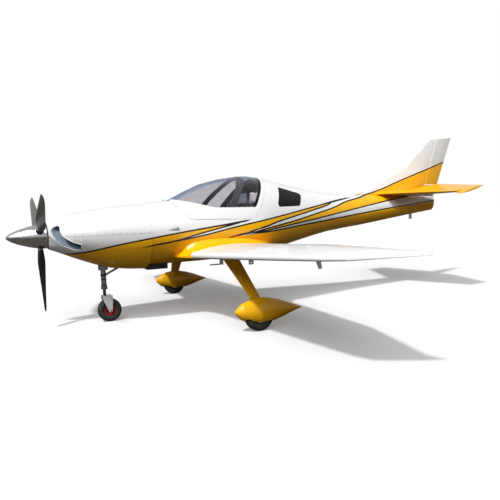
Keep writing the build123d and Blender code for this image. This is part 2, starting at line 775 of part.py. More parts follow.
# Tail
fin_sections = []
for row in FIN_ROWS:
    fin_sections.append((Plane(origin=place(row.lead, 0, row.z)), row.trail - row.lead))
cap_rise = (FIN_TOP_TRAIL[1] - FIN_TOP_LEAD[1]) / (FIN_TOP_TRAIL[0] - FIN_TOP_LEAD[0]) * CAP_REACH
fin_cap = prism(
    [
        (FIN_TOP_LEAD[0] - CAP_REACH, FIN_TOP_LEAD[1] - cap_rise),
        (FIN_TOP_TRAIL[0] + CAP_REACH, FIN_TOP_TRAIL[1] + cap_rise),
        (FIN_TOP_TRAIL[0] + CAP_REACH, TALL),
        (FIN_TOP_LEAD[0] - CAP_REACH, TALL),
    ]
)
fin_form = without(
    foils(fin_sections, (TAIL_NOSE, TAIL_SWEEP), (TAIL_NOSE, TAIL_SWEEP)), outer_form.part, fin_cap
)
tail_sections = []
for row in TAIL_PLAN:
    plane = Plane(origin=place(row.lead, row.y, TAIL_Z), x_dir=(1, 0, 0), z_dir=(0, -1, 0))
    tail_sections.append((plane, row.trail - row.lead))
tail_form = foils(tail_sections, (TAIL_NOSE, TAIL_SWEEP), (TAIL_NOSE, TAIL_SWEEP))
horn_room = block((0, HORN_Y, 0), (LENGTH, REACH, TALL))
horn_cut = block((0, HORN_Y - GAP, 0), (LENGTH, REACH, TALL))
cavity_sections = []
for row in TAIL_PLAN[:2]:
    chord = row.trail - row.lead
    plane = Plane(
        origin=place(row.lead + CAVITY_INSET * chord, row.y, TAIL_Z), x_dir=(1, 0, 0), z_dir=(0, -1, 0)
    )
    cavity_sections.append((plane, (1 - 2 * CAVITY_INSET) * chord))
cavity_form = foils(cavity_sections, (TAIL_NOSE, TAIL_SWEEP), (TAIL_NOSE, TAIL_SWEEP))
tail_cavity = without(
    cavity_form,
    block((ELEVATOR.start[0] - CAVITY_BACK, -REACH, 0), (LENGTH, REACH, TALL)),
    block((0, HORN_Y - CAVITY_BACK, 0), (LENGTH, REACH, TALL)),
)
with BuildPart() as tail_half:
    add(tail_form)
    add(tail_cavity, mode=Mode.SUBTRACT)
    add(
        rod((TAIL_VENT_STATION, 0, TAIL_Z), (TAIL_VENT_STATION, 0, TAIL_Z - SURFACE_HEIGHT), CAVITY_VENT_R),
        mode=Mode.SUBTRACT,
    )
    add(bay(ELEVATOR, GAP, ELEVATOR.end_gap), mode=Mode.SUBTRACT)
    add(horn_cut, mode=Mode.SUBTRACT)
with BuildPart() as elevator_inner:
    with BuildSketch(Plane.XY):
        with BuildLine():
            Polyline(*[(station - MID, y) for station, y in ELEVATOR_INNER], close=True)
        make_face()
    extrude(amount=TALL)
elevator_cavity = common(
    cavity_form,
    block(
        (ELEVATOR.start[0] + ELEVATOR_CAVITY_FRONT, ELEVATOR_CAVITY_IN, 0),
        (LENGTH, HORN_Y - CAVITY_BACK, TALL),
    ),
)
with BuildPart() as elevator_half:
    add(common(tail_form, bay(ELEVATOR)))
    add(common(tail_form, horn_room))
    add(elevator_cavity, mode=Mode.SUBTRACT)
    add(
        rod(
            (ELEVATOR.start[0] + ELEVATOR_VENT_BACK, 0, TAIL_Z),
            (ELEVATOR.start[0] + ELEVATOR_VENT_BACK, 2 * ELEVATOR_CAVITY_IN, TAIL_Z),
            ELEVATOR_VENT_R,
        ),
        mode=Mode.SUBTRACT,
    )
    add(elevator_inner.part, mode=Mode.SUBTRACT)
    add(hinge_pin(ELEVATOR, PIN_R + FIT), mode=Mode.SUBTRACT)
with BuildPart() as tailplane:
    add(tail_half.part)
    add(hinge_pin(ELEVATOR, PIN_R))
    mirror(about=Plane.XZ)
    add(outer_form.part, mode=Mode.SUBTRACT)
elevator_turn = Rot(0, -ELEVATOR_REST, 0)
with BuildPart() as elevator:
    hinge_point = Location(place(ELEVATOR.start[0], 0, ELEVATOR.start[2]))
    add(elevator_half.part.moved(hinge_point * elevator_turn * hinge_point.inverse()))
    mirror(about=Plane.XZ)
fin_cavity_sections = []
for row in FIN_ROWS[:-1]:
    chord = row.trail - row.lead
    plane = Plane(origin=place(row.lead + CAVITY_INSET * chord, 0, row.z))
    fin_cavity_sections.append((plane, (1 - 2 * CAVITY_INSET) * chord))
fin_cavity = without(
    foils(fin_cavity_sections, (TAIL_NOSE, TAIL_SWEEP), (TAIL_NOSE, TAIL_SWEEP)),
    prism(
        [
            (RUDDER.start[0] - CAVITY_BACK, 0),
            (RUDDER.start[0] - CAVITY_BACK, RUDDER.start[2]),
            (RUDDER.end[0] - CAVITY_BACK, RUDDER.end[2]),
            (RUDDER.end[0] - CAVITY_BACK, TALL),
            (LENGTH + CAP_REACH, TALL),
            (LENGTH + CAP_REACH, 0),
        ]
    ),
    block((0, -REACH, FIN_CAVITY_TOP), (LENGTH, REACH, TALL)),
    block((0, -REACH, 0), (LENGTH, REACH, FIN_CAVITY_LOW)),
)
with BuildPart() as fin:
    add(fin_form)
    add(fin_cavity, mode=Mode.SUBTRACT)
    add(
        rod((FIN_VENT_STATION, 0, TAIL_Z), (FIN_VENT_STATION, 0, FIN_CAVITY_LOW + FIN_VENT_R), FIN_VENT_R),
        mode=Mode.SUBTRACT,
    )
    add(bay(RUDDER, GAP, RUDDER.end_gap), mode=Mode.SUBTRACT)
    add(hinge_pin(RUDDER, PIN_R))
    add(tail_form, mode=Mode.SUBTRACT)
    add(mirrored(tail_form), mode=Mode.SUBTRACT)
rudder = without(common(fin_form, bay(RUDDER)), hinge_pin(RUDDER, PIN_R + FIT))

# Main gear, starboard side and mirrored
with BuildPart() as leg:
    for row in LEG_ROWS:
        plane = Plane(origin=place(row.station, row.y, row.z))
        with BuildSketch(plane):
            with BuildLine():
                face = ThreePointArc((-row.chord / 2, 0), (0, row.thick / 2), (row.chord / 2, 0))
                ThreePointArc(face @ 1, (0, -row.thick / 2), face @ 0)
            make_face()
    loft(ruled=True)
axle = rod((MAIN_STATION, LEG_Y, MAIN_R), (MAIN_STATION, AXLE_END, MAIN_R), AXLE_R)
leg_piece = without(leg.part, wing_form, axle)
with BuildPart() as main_gear_legs:
    add(leg_piece)
    mirror(about=Plane.XZ)
with BuildPart() as main_axles:
    add(axle)
    mirror(about=Plane.XZ)
pant_front_room = prism(PANT_FRONT)
pant_form = hull(PANT_ROWS, y=TRACK_HALF)
pant_room = hull(PANT_ROWS[1:-1], PANT_WALL, y=TRACK_HALF)
pant_opening = block(
    (MAIN_STATION - PANT_OPEN_HALF, TRACK_HALF - PANT_OPEN_WIDTH / 2, PANT_UNDER),
    (MAIN_STATION + PANT_OPEN_HALF, TRACK_HALF + PANT_OPEN_WIDTH / 2, PANT_OPEN_TOP),
)
pant = without(pant_form, pant_room, pant_opening, leg.part, axle)
with BuildPart() as wheel_pants_front:
    add(common(pant, pant_front_room))
    mirror(about=Plane.XZ)
with BuildPart() as wheel_pants_rear:
    add(without(pant, pant_front_room))
    mirror(about=Plane.XZ)
main_tyre, main_hub = wheel(MAIN_STATION, TRACK_HALF, MAIN_R, MAIN_WIDTH, MAIN_RIM, AXLE_R + FIT)

# Nose gear
nose_tyre, nose_hub = wheel(NOSE_STATION, 0, NOSE_R, NOSE_WIDTH, NOSE_RIM, NOSE_AXLE_R + FIT)
with BuildPart() as nose_strut:
    add(rod((STEER_STATION, 0, STRUT_LOW), (STEER_STATION, 0, ENGINE_LOW), STRUT_R))
    add(rod((STEER_STATION, 0, STRUT_LOW), (STEER_STATION, 0, STRUT_LOW + COLLAR_HEIGHT), COLLAR_R))
    add(rod((STEER_STATION, 0, 0), (STEER_STATION, 0, BORE_TOP), PISTON_R + FIT), mode=Mode.SUBTRACT)
drag_brace = without(brace_bar, rod((STEER_STATION, 0, STRUT_LOW), (STEER_STATION, 0, ENGINE_LOW), STRUT_R))
fork_side = [
    (CROWN_FRONT, CROWN_TOP), (CROWN_REAR, CROWN_TOP), (CROWN_REAR, FORK_CHEEK_REAR),
    (NOSE_STATION + FORK_LOW_R, NOSE_R), (NOSE_STATION - FORK_LOW_R, NOSE_R),
    (CROWN_FRONT, FORK_CHEEK_FRONT),
]
with BuildPart() as nose_fork:
    add(prism(fork_side, FORK_INNER + FORK_THICK))
    for side in (-1, 1):
        near = (NOSE_STATION, side * FORK_INNER, NOSE_R)
        far = (NOSE_STATION, side * (FORK_INNER + FORK_THICK), NOSE_R)
        add(rod(near, far, FORK_LOW_R))
    add(block((0, -FORK_INNER, 0), (LENGTH, FORK_INNER, CROWN_LOW)), mode=Mode.SUBTRACT)
    add(rod((STEER_STATION, 0, CROWN_LOW), (STEER_STATION, 0, PISTON_TOP), PISTON_R))
    add(rod((NOSE_STATION, -REACH, NOSE_R), (NOSE_STATION, REACH, NOSE_R), NOSE_AXLE_R), mode=Mode.SUBTRACT)
nose_axle = rod(
    (NOSE_STATION, -FORK_INNER - FORK_THICK - NOSE_AXLE_PROUD, NOSE_R),
    (NOSE_STATION, FORK_INNER + FORK_THICK + NOSE_AXLE_PROUD, NOSE_R),
    NOSE_AXLE_R,
)

# Fittings under the wings and tail
with BuildPart() as pitot:
    add(rod((PITOT_TIP, -PITOT_Y, PITOT_Z), (PITOT_STATION + PITOT_CHORD / 2, -PITOT_Y, PITOT_Z), PITOT_R))
    add(
        block(
            (PITOT_STATION - PITOT_CHORD / 2, -PITOT_Y - PITOT_THICK / 2, PITOT_Z),
            (PITOT_STATION + PITOT_CHORD / 2, -PITOT_Y + PITOT_THICK / 2, FITTING_TOP),
        )
    )
    add(mirrored(wing_form), mode=Mode.SUBTRACT)
tie_lug = without(
    block(
        (LUG_STATION - TIE_LENGTH / 2, TIE_Y - TIE_THICK / 2, TIE_LOW),
        (LUG_STATION + TIE_LENGTH / 2, TIE_Y + TIE_THICK / 2, FITTING_TOP),
    ),
    wing_form,
    rod((LUG_STATION, 0, TIE_HOLE_Z), (LUG_STATION, REACH, TIE_HOLE_Z), TIE_HOLE_R),
)
tail_lug = without(
    block(
        (TAIL_TIE_STATION - TIE_LENGTH / 2, -TIE_THICK / 2, TAIL_TIE_LOW),
        (TAIL_TIE_STATION + TIE_LENGTH / 2, TIE_THICK / 2, TAIL_TIE_TOP),
    ),
    outer_form.part,
    rod((TAIL_TIE_STATION, -REACH, TAIL_TIE_HOLE_Z), (TAIL_TIE_STATION, REACH, TAIL_TIE_HOLE_Z), TIE_HOLE_R),
)
with BuildPart() as tie_down_lugs:
    add(tie_lug)
    mirror(about=Plane.XZ)
    add(tail_lug)
with BuildPart() as blade_fitting:
    with Locations((0, BLADE_FITTING_Y, 0)):
        add(prism(BLADE_FITTING_OUTLINE, BLADE_FITTING_THICK / 2))
    add(wing_form, mode=Mode.SUBTRACT)
with BuildPart() as wing_blades:
    add(blade_fitting.part)
    mirror(about=Plane.XZ)

PIECES = [
    (fuselage_shell.part, "fuselage_shell"),
    (canopy_hinge_brackets.part, "canopy_hinge_brackets"),
    (canopy_frame.part, "canopy_frame"),
    (canopy_glass, "canopy_glass"),
    (quarter_windows, "quarter_windows"),
    (firewall, "firewall"),
    (cabin_floor, "cabin_floor"),
    (rear_bulkhead, "rear_bulkhead"),
    (instrument_panel.part, "instrument_panel"),
    (seats.part, "seats"),
    (pedestal, "pedestal"),
    (control_sticks.part, "control_sticks"),
    (upper_cowl, "upper_cowl"),
    (lower_cowl, "lower_cowl"),
    (nose_gear_fairing, "nose_gear_fairing"),
    (outlet_duct, "outlet_duct"),
    (engine_block.part, "engine_block"),
    (spinner.part, "spinner"),
    (propeller_hub.part, "propeller_hub"),
    (propeller_blades.part, "propeller_blades"),
    (wing_starboard.part, "wing_starboard"),
    (mirrored(wing_starboard.part), "wing_port"),
    (flap_starboard, "flap_starboard"),
    (mirrored(flap_starboard), "flap_port"),
    (wing_root_fairings.part, "wing_root_fairings"),
    (aileron_starboard, "aileron_starboard"),
    (mirrored(aileron_starboard), "aileron_port"),
    (tailplane.part, "tailplane"),
    (elevator.part, "elevator"),
    (fin.part, "fin"),
    (rudder, "rudder"),
    (main_gear_legs.part, "main_gear_legs"),
    (main_axles.part, "main_axles"),
    (wheel_pants_front.part, "wheel_pants_front"),
    (wheel_pants_rear.part, "wheel_pants_rear"),
    (main_tyre, "main_tyre_starboard"),
    (mirrored(main_tyre), "main_tyre_port"),
    (main_hub, "main_hub_starboard"),
    (mirrored(main_hub), "main_hub_port"),
    (nose_strut.part, "nose_strut"),
    (drag_brace, "drag_brace"),
    (nose_fork.part, "nose_fork"),
    (nose_axle, "nose_axle"),
    (nose_tyre, "nose_tyre"),
    (nose_hub, "nose_hub"),
    (pitot.part, "pitot"),
    (tie_down_lugs.part, "tie_down_lugs"),
    (wing_blades.part, "wing_blades"),
]
for piece, name in PIECES:
    keep(piece, name)
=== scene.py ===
import json
from math import cos, exp, pi, radians, sin

import bmesh
import bpy
from mathutils import Matrix, Vector
from mathutils.bvhtree import BVHTree


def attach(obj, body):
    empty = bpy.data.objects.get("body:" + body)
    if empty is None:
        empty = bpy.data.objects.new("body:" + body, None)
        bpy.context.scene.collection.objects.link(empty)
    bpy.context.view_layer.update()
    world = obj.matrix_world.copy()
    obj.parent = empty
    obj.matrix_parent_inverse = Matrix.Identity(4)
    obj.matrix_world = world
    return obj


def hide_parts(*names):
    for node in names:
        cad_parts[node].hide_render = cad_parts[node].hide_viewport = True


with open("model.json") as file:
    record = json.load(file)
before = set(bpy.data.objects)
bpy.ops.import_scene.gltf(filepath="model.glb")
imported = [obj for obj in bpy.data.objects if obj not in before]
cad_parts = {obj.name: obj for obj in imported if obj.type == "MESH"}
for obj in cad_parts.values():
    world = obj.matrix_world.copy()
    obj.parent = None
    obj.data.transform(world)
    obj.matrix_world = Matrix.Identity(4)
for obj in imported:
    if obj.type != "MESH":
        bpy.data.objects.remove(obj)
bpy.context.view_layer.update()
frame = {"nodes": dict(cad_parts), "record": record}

# The row frame: X aft, Y starboard, Z up; a station is millimetres aft of the spinner tip
MM = 0.001
LENGTH = 7255.0
NOSE = -LENGTH * MM / 2
AFT, ACROSS, UP = Vector((1, 0, 0)), Vector((0, 1, 0)), Vector((0, 0, 1))
PAINT_TOP = 3.0
MERGE = 0.00005


def at(station, y, z):
    """Point of the row frame, in metres, from millimetres."""
    return Vector((station * MM + NOSE, y * MM, z * MM))


# Shader helpers
COLOUR_MIX = (0, 6, 7)
COLOUR_OUT = 2
BLACK = (0, 0, 0, 1)
PURE = (1, 1, 1, 1)


def feed(tree, socket, value):
    """A link or a number into an input."""
    if isinstance(value, bpy.types.NodeSocket):
        tree.links.new(value, socket)
    elif value is not None:
        socket.default_value = value


def give(tree, made, values):
    """Links or numbers into a node's inputs, by name."""
    for name, value in values.items():
        feed(tree, made.inputs[name], value)


def shade(tree, kind, *values, **settings):
    """A shader node with its settings, and its inputs in order as links or numbers."""
    made = tree.nodes.new("ShaderNode" + kind)
    for name, value in settings.items():
        setattr(made, name, value)
    for socket, value in zip(made.inputs, values):
        feed(tree, socket, value)
    return made


def calc(tree, operation, *values, clamp=False):
    """One sum on numbers or links."""
    return shade(tree, "Math", *values, operation=operation, use_clamp=clamp).outputs[0]


def blend(tree, factor, first, second, mode="MIX"):
    """First colour turning into the second as the factor grows."""
    mix = shade(tree, "Mix", data_type="RGBA", blend_type=mode)
    for number, value in zip(COLOUR_MIX, (factor, first, second)):
        feed(tree, mix.inputs[number], value)
    return mix.outputs[COLOUR_OUT]


def toned(tree, colour, tone):
    """The colour made darker by a tone below one."""
    return blend(tree, 1.0, colour, blend(tree, tone, BLACK, PURE), "MULTIPLY")


def parts_of(tree, place):
    """The three numbers of a place."""
    return shade(tree, "SeparateXYZ", place).outputs


def ramp(tree, value, low, high, out_low=0.0, out_high=1.0):
    """The value carried from one range to another, held at its ends."""
    return shade(tree, "MapRange", value, low, high, out_low, out_high).outputs[0]


def noise(tree, place, scale, detail=2.0, roughness=0.5):
    """Soft noise on the given place."""
    made = shade(tree, "TexNoise")
    give(tree, made, {"Vector": place, "Scale": scale, "Detail": detail, "Roughness": roughness})
    return made.outputs[0]


def curve(tree, value, points, height):
    """A drawn curve of the station: points as station and size, both in millimetres."""
    made = shade(tree, "FloatCurve")
    give(tree, made, {"Value": value})
    line = made.mapping.curves[0].points
    while len(line) < len(points):
        line.new(0.5, 0.5)
    for point, (station, size) in zip(line, points):
        point.location = (station / LENGTH, size * MM / height)
        point.handle_type = "AUTO_CLAMPED"
    made.mapping.update()
    return made.outputs[0]


def group(name, inputs, outputs):
    """An empty shader group with named sockets, its inputs and its end."""
    tree = bpy.data.node_groups.new(name, "ShaderNodeTree")
    for kinds, side in ((inputs, "INPUT"), (outputs, "OUTPUT")):
        for socket, kind in kinds:
            tree.interface.new_socket(socket, in_out=side, socket_type="NodeSocket" + kind)
    return tree, tree.nodes.new("NodeGroupInput").outputs, tree.nodes.new("NodeGroupOutput")


def use(tree, shared, **values):
    """A shared group placed in a material with its own values."""
    made = shade(tree, "Group", node_tree=shared)
    give(tree, made, values)
    return made.outputs


# Shared effects
# Paint borders from top to bottom along the body, as station and height
BORDERS = [
    [(0, 760), (560, 880), (632, 923), (728, 930), (1234, 1020), (1470, 1057), (1854, 1113), (2352, 1178),
     (2617, 1208), (2900, 1243), (2990, 1254), (LENGTH, 1254)],
    [(0, 900), (1414, 954), (1655, 992), (1880, 1022), (2232, 1105), (2588, 1181), (2900, 1238),
     (2990, 1254), (LENGTH, 1254)],
    [(0, 900), (1414, 954), (1655, 992), (1880, 1022), (2233, 1073), (2714, 1165), (3308, 1261),
     (3810, 1343), (4224, 1410), (4560, 1462), (5100, 1530), (LENGTH, 1700)],
    [(0, 900), (2531, 1004), (2798, 1063), (2979, 1102), (3132, 1138), (3232, 1162), (3335, 1193),
     (3444, 1219), (3728, 1276), (4034, 1338), (4382, 1408), (4560, 1460), (5100, 1530), (LENGTH, 1700)],
    [(0, 900), (2531, 1004), (2798, 1062), (2979, 1092), (3064, 1098), (3234, 1128), (3445, 1163),
     (3784, 1222), (4087, 1284), (4513, 1372), (4765, 1443), (5160, 1512), (5570, 1605), (6105, 1778),
     (7057, 2069), (LENGTH, 2130)],
    [(0, 900), (2531, 1004), (2657, 1035), (2798, 1062), (2927, 1078), (3066, 1084), (3237, 1101),
     (3503, 1137), (3786, 1175), (4085, 1213), (4495, 1270), (5578, 1429), (6043, 1492), (LENGTH, 1640)],
    [(0, 900), (2531, 1004), (2657, 1035), (2780, 1054), (2849, 1047), (2927, 1053), (3116, 1072),
     (3293, 1082), (3454, 1097), (3793, 1133), (4092, 1162), (4404, 1192), (5549, 1310), (6771, 1421),
     (LENGTH, 1470)],
]
# Half widths of the dark line on each border, as station and size
LINES = [
    [(0, 0), (600, 0), (660, 11), (2300, 11), (2560, 12), (2680, 13), (2780, 13), (2900, 11), (2990, 0),
     (LENGTH, 0)],
    [(0, 0), (1414, 0), (1640, 11), (1860, 12), (2000, 11), (2588, 11), (2975, 0), (LENGTH, 0)],
    [(0, 0), (1880, 0), (1930, 11), (3800, 11), (4200, 11), (4560, 14), (4800, 11), (5100, 0), (LENGTH, 0)],
    [(0, 0), (2900, 0), (2979, 12), (3100, 10), (3150, 15), (3232, 13), (3335, 12), (4382, 11), (4560, 0),
     (LENGTH, 0)],
    [(0, 0), (2960, 0), (3064, 8), (3234, 11), (5160, 11), (LENGTH, 12)],
    [(0, 0), (2531, 0), (2657, 8), (2798, 13), (2913, 16), (2979, 12), (3066, 12), (3237, 11),
     (LENGTH, 11)],
    [(0, 0), (2849, 0), (2950, 4), (3116, 8), (3293, 11), (LENGTH, 11)],
]
LINE_TOP = 0.05
EDGE = 0.0012


def paint_lines():
    """Masks of the yellow fields and of the dark lines, from a place on the body."""
    tree, start, end = group("paint_lines", [("Place", "Vector")], [("Yellow", "Float"), ("Dark", "Float")])
    place = parts_of(tree, start["Place"])
    station = ramp(tree, place[0], NOSE, -NOSE)
    yellow, dark = 0.0, 0.0
    sign = 1.0
    for border, line in zip(BORDERS, LINES):
        height = calc(tree, "MULTIPLY", curve(tree, station, border, PAINT_TOP), PAINT_TOP)
        half = calc(tree, "MULTIPLY", curve(tree, station, line, LINE_TOP), LINE_TOP)
        below = calc(tree, "SUBTRACT", height, place[2])
        field = ramp(tree, below, -EDGE, EDGE)
        yellow = calc(tree, "MULTIPLY_ADD", field, sign, yellow)
        reach = calc(tree, "SUBTRACT", half, calc(tree, "ABSOLUTE", below))
        dark = calc(tree, "MAXIMUM", ramp(tree, reach, 0.0, EDGE), dark)
        sign = -sign
    give(tree, end, {"Yellow": calc(tree, "ADD", yellow, 0.0, clamp=True), "Dark": dark})
    return tree


PAINTED = [("Place", "Vector"), ("Colour", "Color")]
EFFECT = [("Colour", "Color"), ("Roughness", "Float"), ("Relief", "Float")]
DUST_TONE = (0.40, 0.36, 0.30, 1)
DUST_TOP = 0.9
STREAK_SCALE = (14.0, 260.0, 14.0)


def lacquer():
    """Slow shade and fine ripple of sprayed lacquer, with a film of dust that thins upwards."""
    tree, start, end = group("lacquer", PAINTED + [("Dust", "Float")], EFFECT)
    place = start["Place"]
    slow = ramp(tree, noise(tree, place, 2.4, 3.0), 0.3, 0.7, 0.955, 1.0)
    low = ramp(tree, parts_of(tree, place)[2], 0.0, DUST_TOP, 1.0, 0.15)
    specks = ramp(tree, noise(tree, place, 34.0, 6.0, 0.7), 0.46, 0.78)
    film = calc(tree, "MULTIPLY", calc(tree, "MULTIPLY", specks, low), start["Dust"])
    gloss = ramp(tree, noise(tree, place, 9.0, 4.0), 0.35, 0.75, 0.16, 0.27)
    give(tree, end, {
        "Colour": blend(tree, film, toned(tree, start["Colour"], slow), DUST_TONE),
        "Roughness": calc(tree, "MULTIPLY_ADD", film, 0.5, gloss),
        "Relief": noise(tree, place, 420.0),
    })
    return tree


def scuffed():
    """Brushed and worn metal: fine streaks across one way and duller patches."""
    tree, start, end = group("scuffed", PAINTED + [("Rough", "Float")], EFFECT)
    place = start["Place"]
    long = shade(tree, "Mapping", place, None, None, STREAK_SCALE).outputs[0]
    streaks = noise(tree, long, 3.0, 4.0, 0.6)
    patch = noise(tree, place, 16.0, 5.0, 0.6)
    dull = ramp(tree, patch, 0.3, 0.7, -0.04, 0.06)
    grain = calc(tree, "ADD", ramp(tree, streaks, 0.3, 0.7, -0.05, 0.07), dull)
    give(tree, end, {
        "Colour": toned(tree, start["Colour"], ramp(tree, patch, 0.3, 0.75, 0.82, 1.04)),
        "Roughness": calc(tree, "ADD", start["Rough"], grain, clamp=True),
        "Relief": streaks,
    })
    return tree


def grained():
    """Fine pebble and soft wear of moulded plastic, rubber, cloth and leather."""
    inputs = PAINTED + [("Wear", "Color"), ("Size", "Float"), ("Rough", "Float")]
    tree, start, end = group("grained", inputs, EFFECT)
    place = start["Place"]
    cells = shade(tree, "TexVoronoi")
    give(tree, cells, {"Vector": place, "Scale": start["Size"]})
    patch = ramp(tree, noise(tree, place, 11.0, 5.0, 0.6), 0.42, 0.8)
    worn = ramp(tree, patch, 0.0, 1.0, -0.06, 0.1)
    give(tree, end, {
        "Colour": blend(tree, patch, start["Colour"], start["Wear"]),
        "Roughness": calc(tree, "ADD", start["Rough"], worn, clamp=True),
        "Relief": calc(tree, "SUBTRACT", 1.0, cells.outputs["Distance"]),
    })
    return tree


PAINT_LINES = paint_lines()
LACQUER = lacquer()
SCUFFED = scuffed()
GRAINED = grained()


def material(name):
    """A new material with its tree, its shader and its place on the object."""
    made = bpy.data.materials.new(name)
    made.use_nodes = True
    tree = made.node_tree
    shader = tree.nodes["Principled BSDF"]
    return made, tree, shader, shade(tree, "TexCoord").outputs["Object"]


def finish(tree, shader, effect, strength, distance=0.001):
    """Join an effect's colour, roughness and relief to the shader."""
    colour, roughness, height = effect
    bump = shade(tree, "Bump")
    give(tree, bump, {"Strength": strength, "Distance": distance, "Height": height})
    give(tree, shader, {"Base Color": colour, "Roughness": roughness, "Normal": bump.outputs[0]})


WHITE = (0.83, 0.84, 0.85, 1)
YELLOW = (0.94, 0.47, 0.002, 1)
DARK = (0.012, 0.012, 0.014, 1)


def lacquered(name, paint, dust=0.05):
    """Gloss paint, either one colour or drawn from the place."""
    made, tree, shader, place = material(name)
    colour = paint(tree, place) if callable(paint) else paint
    coat = use(tree, LACQUER, Place=place, Colour=colour, Dust=dust)
    finish(tree, shader, coat, 0.015)
    give(tree, shader, {"Specular IOR Level": 0.35, "Coat Weight": 0.12, "Coat Roughness": 0.05})
    return made


def livery(tree, place):
    """White over yellow with sweeping white stripes and dark lines."""
    masks = use(tree, PAINT_LINES, Place=place)
    fields = blend(tree, masks["Yellow"], WHITE, YELLOW)
    return blend(tree, masks["Dark"], fields, DARK)


COWL_SPLIT = 1145.0
COWL_REAR = 1625.0
SEAM = (0.16, 0.16, 0.17, 1)
SEAM_HALF = 0.0011


def cowl_livery(tree, place):
    """The livery with the thin joints of the cowl halves and of the body behind them."""
    parts = parts_of(tree, place)
    split = calc(tree, "ABSOLUTE", calc(tree, "SUBTRACT", parts[2], COWL_SPLIT * MM))
    rear = calc(tree, "ABSOLUTE", calc(tree, "SUBTRACT", parts[0], COWL_REAR * MM + NOSE))
    near = calc(tree, "MINIMUM", split, rear)
    return blend(tree, ramp(tree, near, SEAM_HALF, 2 * SEAM_HALF, 0.9, 0.0), livery(tree, place), SEAM)


ROOT_EDGE = 690.0


def wing_white(tree, place):
    """White wing, yellow where the body's paint runs on to its root."""
    span = calc(tree, "ABSOLUTE", parts_of(tree, place)[1])
    inside = calc(tree, "SUBTRACT", ROOT_EDGE * MM, span)
    return blend(tree, ramp(tree, inside, -EDGE, EDGE), WHITE, YELLOW)


def metal(name, colour, rough, relief=0.05):
    """Bare or polished metal."""
    made, tree, shader, place = material(name)
    worn = use(tree, SCUFFED, Place=place, Colour=colour, Rough=rough)
    finish(tree, shader, worn, relief, 0.0004)
    give(tree, shader, {"Metallic": 1.0})
    return made


def moulded(name, colour, wear, rough, size=900.0, relief=0.25):
    """Plastic, rubber, carpet or leather with a pebble of the given fineness."""
    made, tree, shader, place = material(name)
    skin = use(tree, GRAINED, Place=place, Colour=colour, Wear=wear, Size=size, Rough=rough)
    finish(tree, shader, skin, relief, 0.0006)
    return made


def glazed(name, tint_of, rough):
    """Blown window sheet: clear to light that only casts shadow."""
    made, tree, shader, place = material(name)
    haze = ramp(tree, noise(tree, place, 7.0, 4.0), 0.4, 0.8, rough, rough + 0.03)
    # On the canopy the sheet's colour carries a painted edge-on reflection along its crest
    tint = tint_of(tree, place)
    give(tree, shader, {"Base Color": tint, "Roughness": haze, "Transmission Weight": 1.0, "IOR": 1.33})
    clear = shade(tree, "BsdfTransparent", tint)
    shadow = shade(tree, "LightPath").outputs["Is Shadow Ray"]
    mix = shade(tree, "MixShader", shadow, shader.outputs[0], clear.outputs[0])
    give(tree, tree.nodes["Material Output"], {"Surface": mix.outputs[0]})
    return made


CLEAR_TINT = (0.70, 0.69, 0.72, 1)
# Crest blue: a tinted band, and painted reflection of the sheet seen edge-on along its crest
CREST_TINT_AND_REFLECTION = (0.06, 0.20, 0.42, 1)
CREST_IN = 0.06
CREST_OUT = 0.22
SHEET_REAR = (3056.0, 1415.0)
SHEET_LEAN = 0.661
SHEET_BAND = 42.0
SMOKE_TINT = (0.10, 0.11, 0.13, 1)


def slow_tint(tree, place, tint, low):
    """A sheet's tint with a slow change of tone."""
    return blend(tree, ramp(tree, noise(tree, place, 1.6), 0.3, 0.7, low, 1.0), DARK, tint)


def canopy_tint_and_reflection(tree, place):
    """Pale sheet, blue along its crest as a tinted band and a painted edge-on reflection, with a black band
    at its rear edge.
    """
    parts = parts_of(tree, place)
    pale = slow_tint(tree, place, CLEAR_TINT, 0.94)
    side = calc(tree, "ABSOLUTE", parts[1])
    # Painted reflection along the crest, where the sheet is seen edge-on, on top of a tinted band
    crest_band_and_reflection = blend(tree, ramp(tree, side, CREST_IN, CREST_OUT, 1.0, 0.0), pale, CREST_TINT_AND_REFLECTION)
    rise = calc(tree, "SUBTRACT", parts[2], SHEET_REAR[1] * MM)
    edge = calc(tree, "MULTIPLY_ADD", rise, SHEET_LEAN, (SHEET_REAR[0] - SHEET_BAND) * MM + NOSE)
    band = ramp(tree, calc(tree, "SUBTRACT", parts[0], edge), 0.0, EDGE)
    return blend(tree, band, crest_band_and_reflection, DARK)


def smoke_tint(tree, place):
    """Dark sheet."""
    return slow_tint(tree, place, SMOKE_TINT, 0.85)


LIVERY = lacquered("livery_lacquer", livery)
COWL_LIVERY = lacquered("cowl_lacquer", cowl_livery)
WING_WHITE = lacquered("wing_lacquer", wing_white)
YELLOW_COAT = lacquered("yellow_lacquer", YELLOW, 0.12)
CANOPY_SHEET = glazed("canopy_sheet", canopy_tint_and_reflection, 0.015)
SMOKED_SHEET = glazed("smoked_sheet", smoke_tint, 0.03)
MIRROR_METAL = metal("spun_mirror_metal", (0.64, 0.65, 0.67, 1), 0.17, 0.01)
BLADE_METAL = metal("blade_metal", (0.30, 0.29, 0.29, 1), 0.32)
CAST_ALLOY = metal("cast_alloy", (0.60, 0.61, 0.62, 1), 0.38, 0.12)
STEEL = metal("machined_steel", (0.50, 0.51, 0.53, 1), 0.30)
STRUT_METAL = metal("strut_blue_grey", (0.30, 0.34, 0.39, 1), 0.36)
FORK_COAT = lacquered("fork_lacquer", (0.66, 0.67, 0.69, 1), 0.2)
VENT_COAT = lacquered("vent_lacquer", (0.40, 0.38, 0.35, 1))
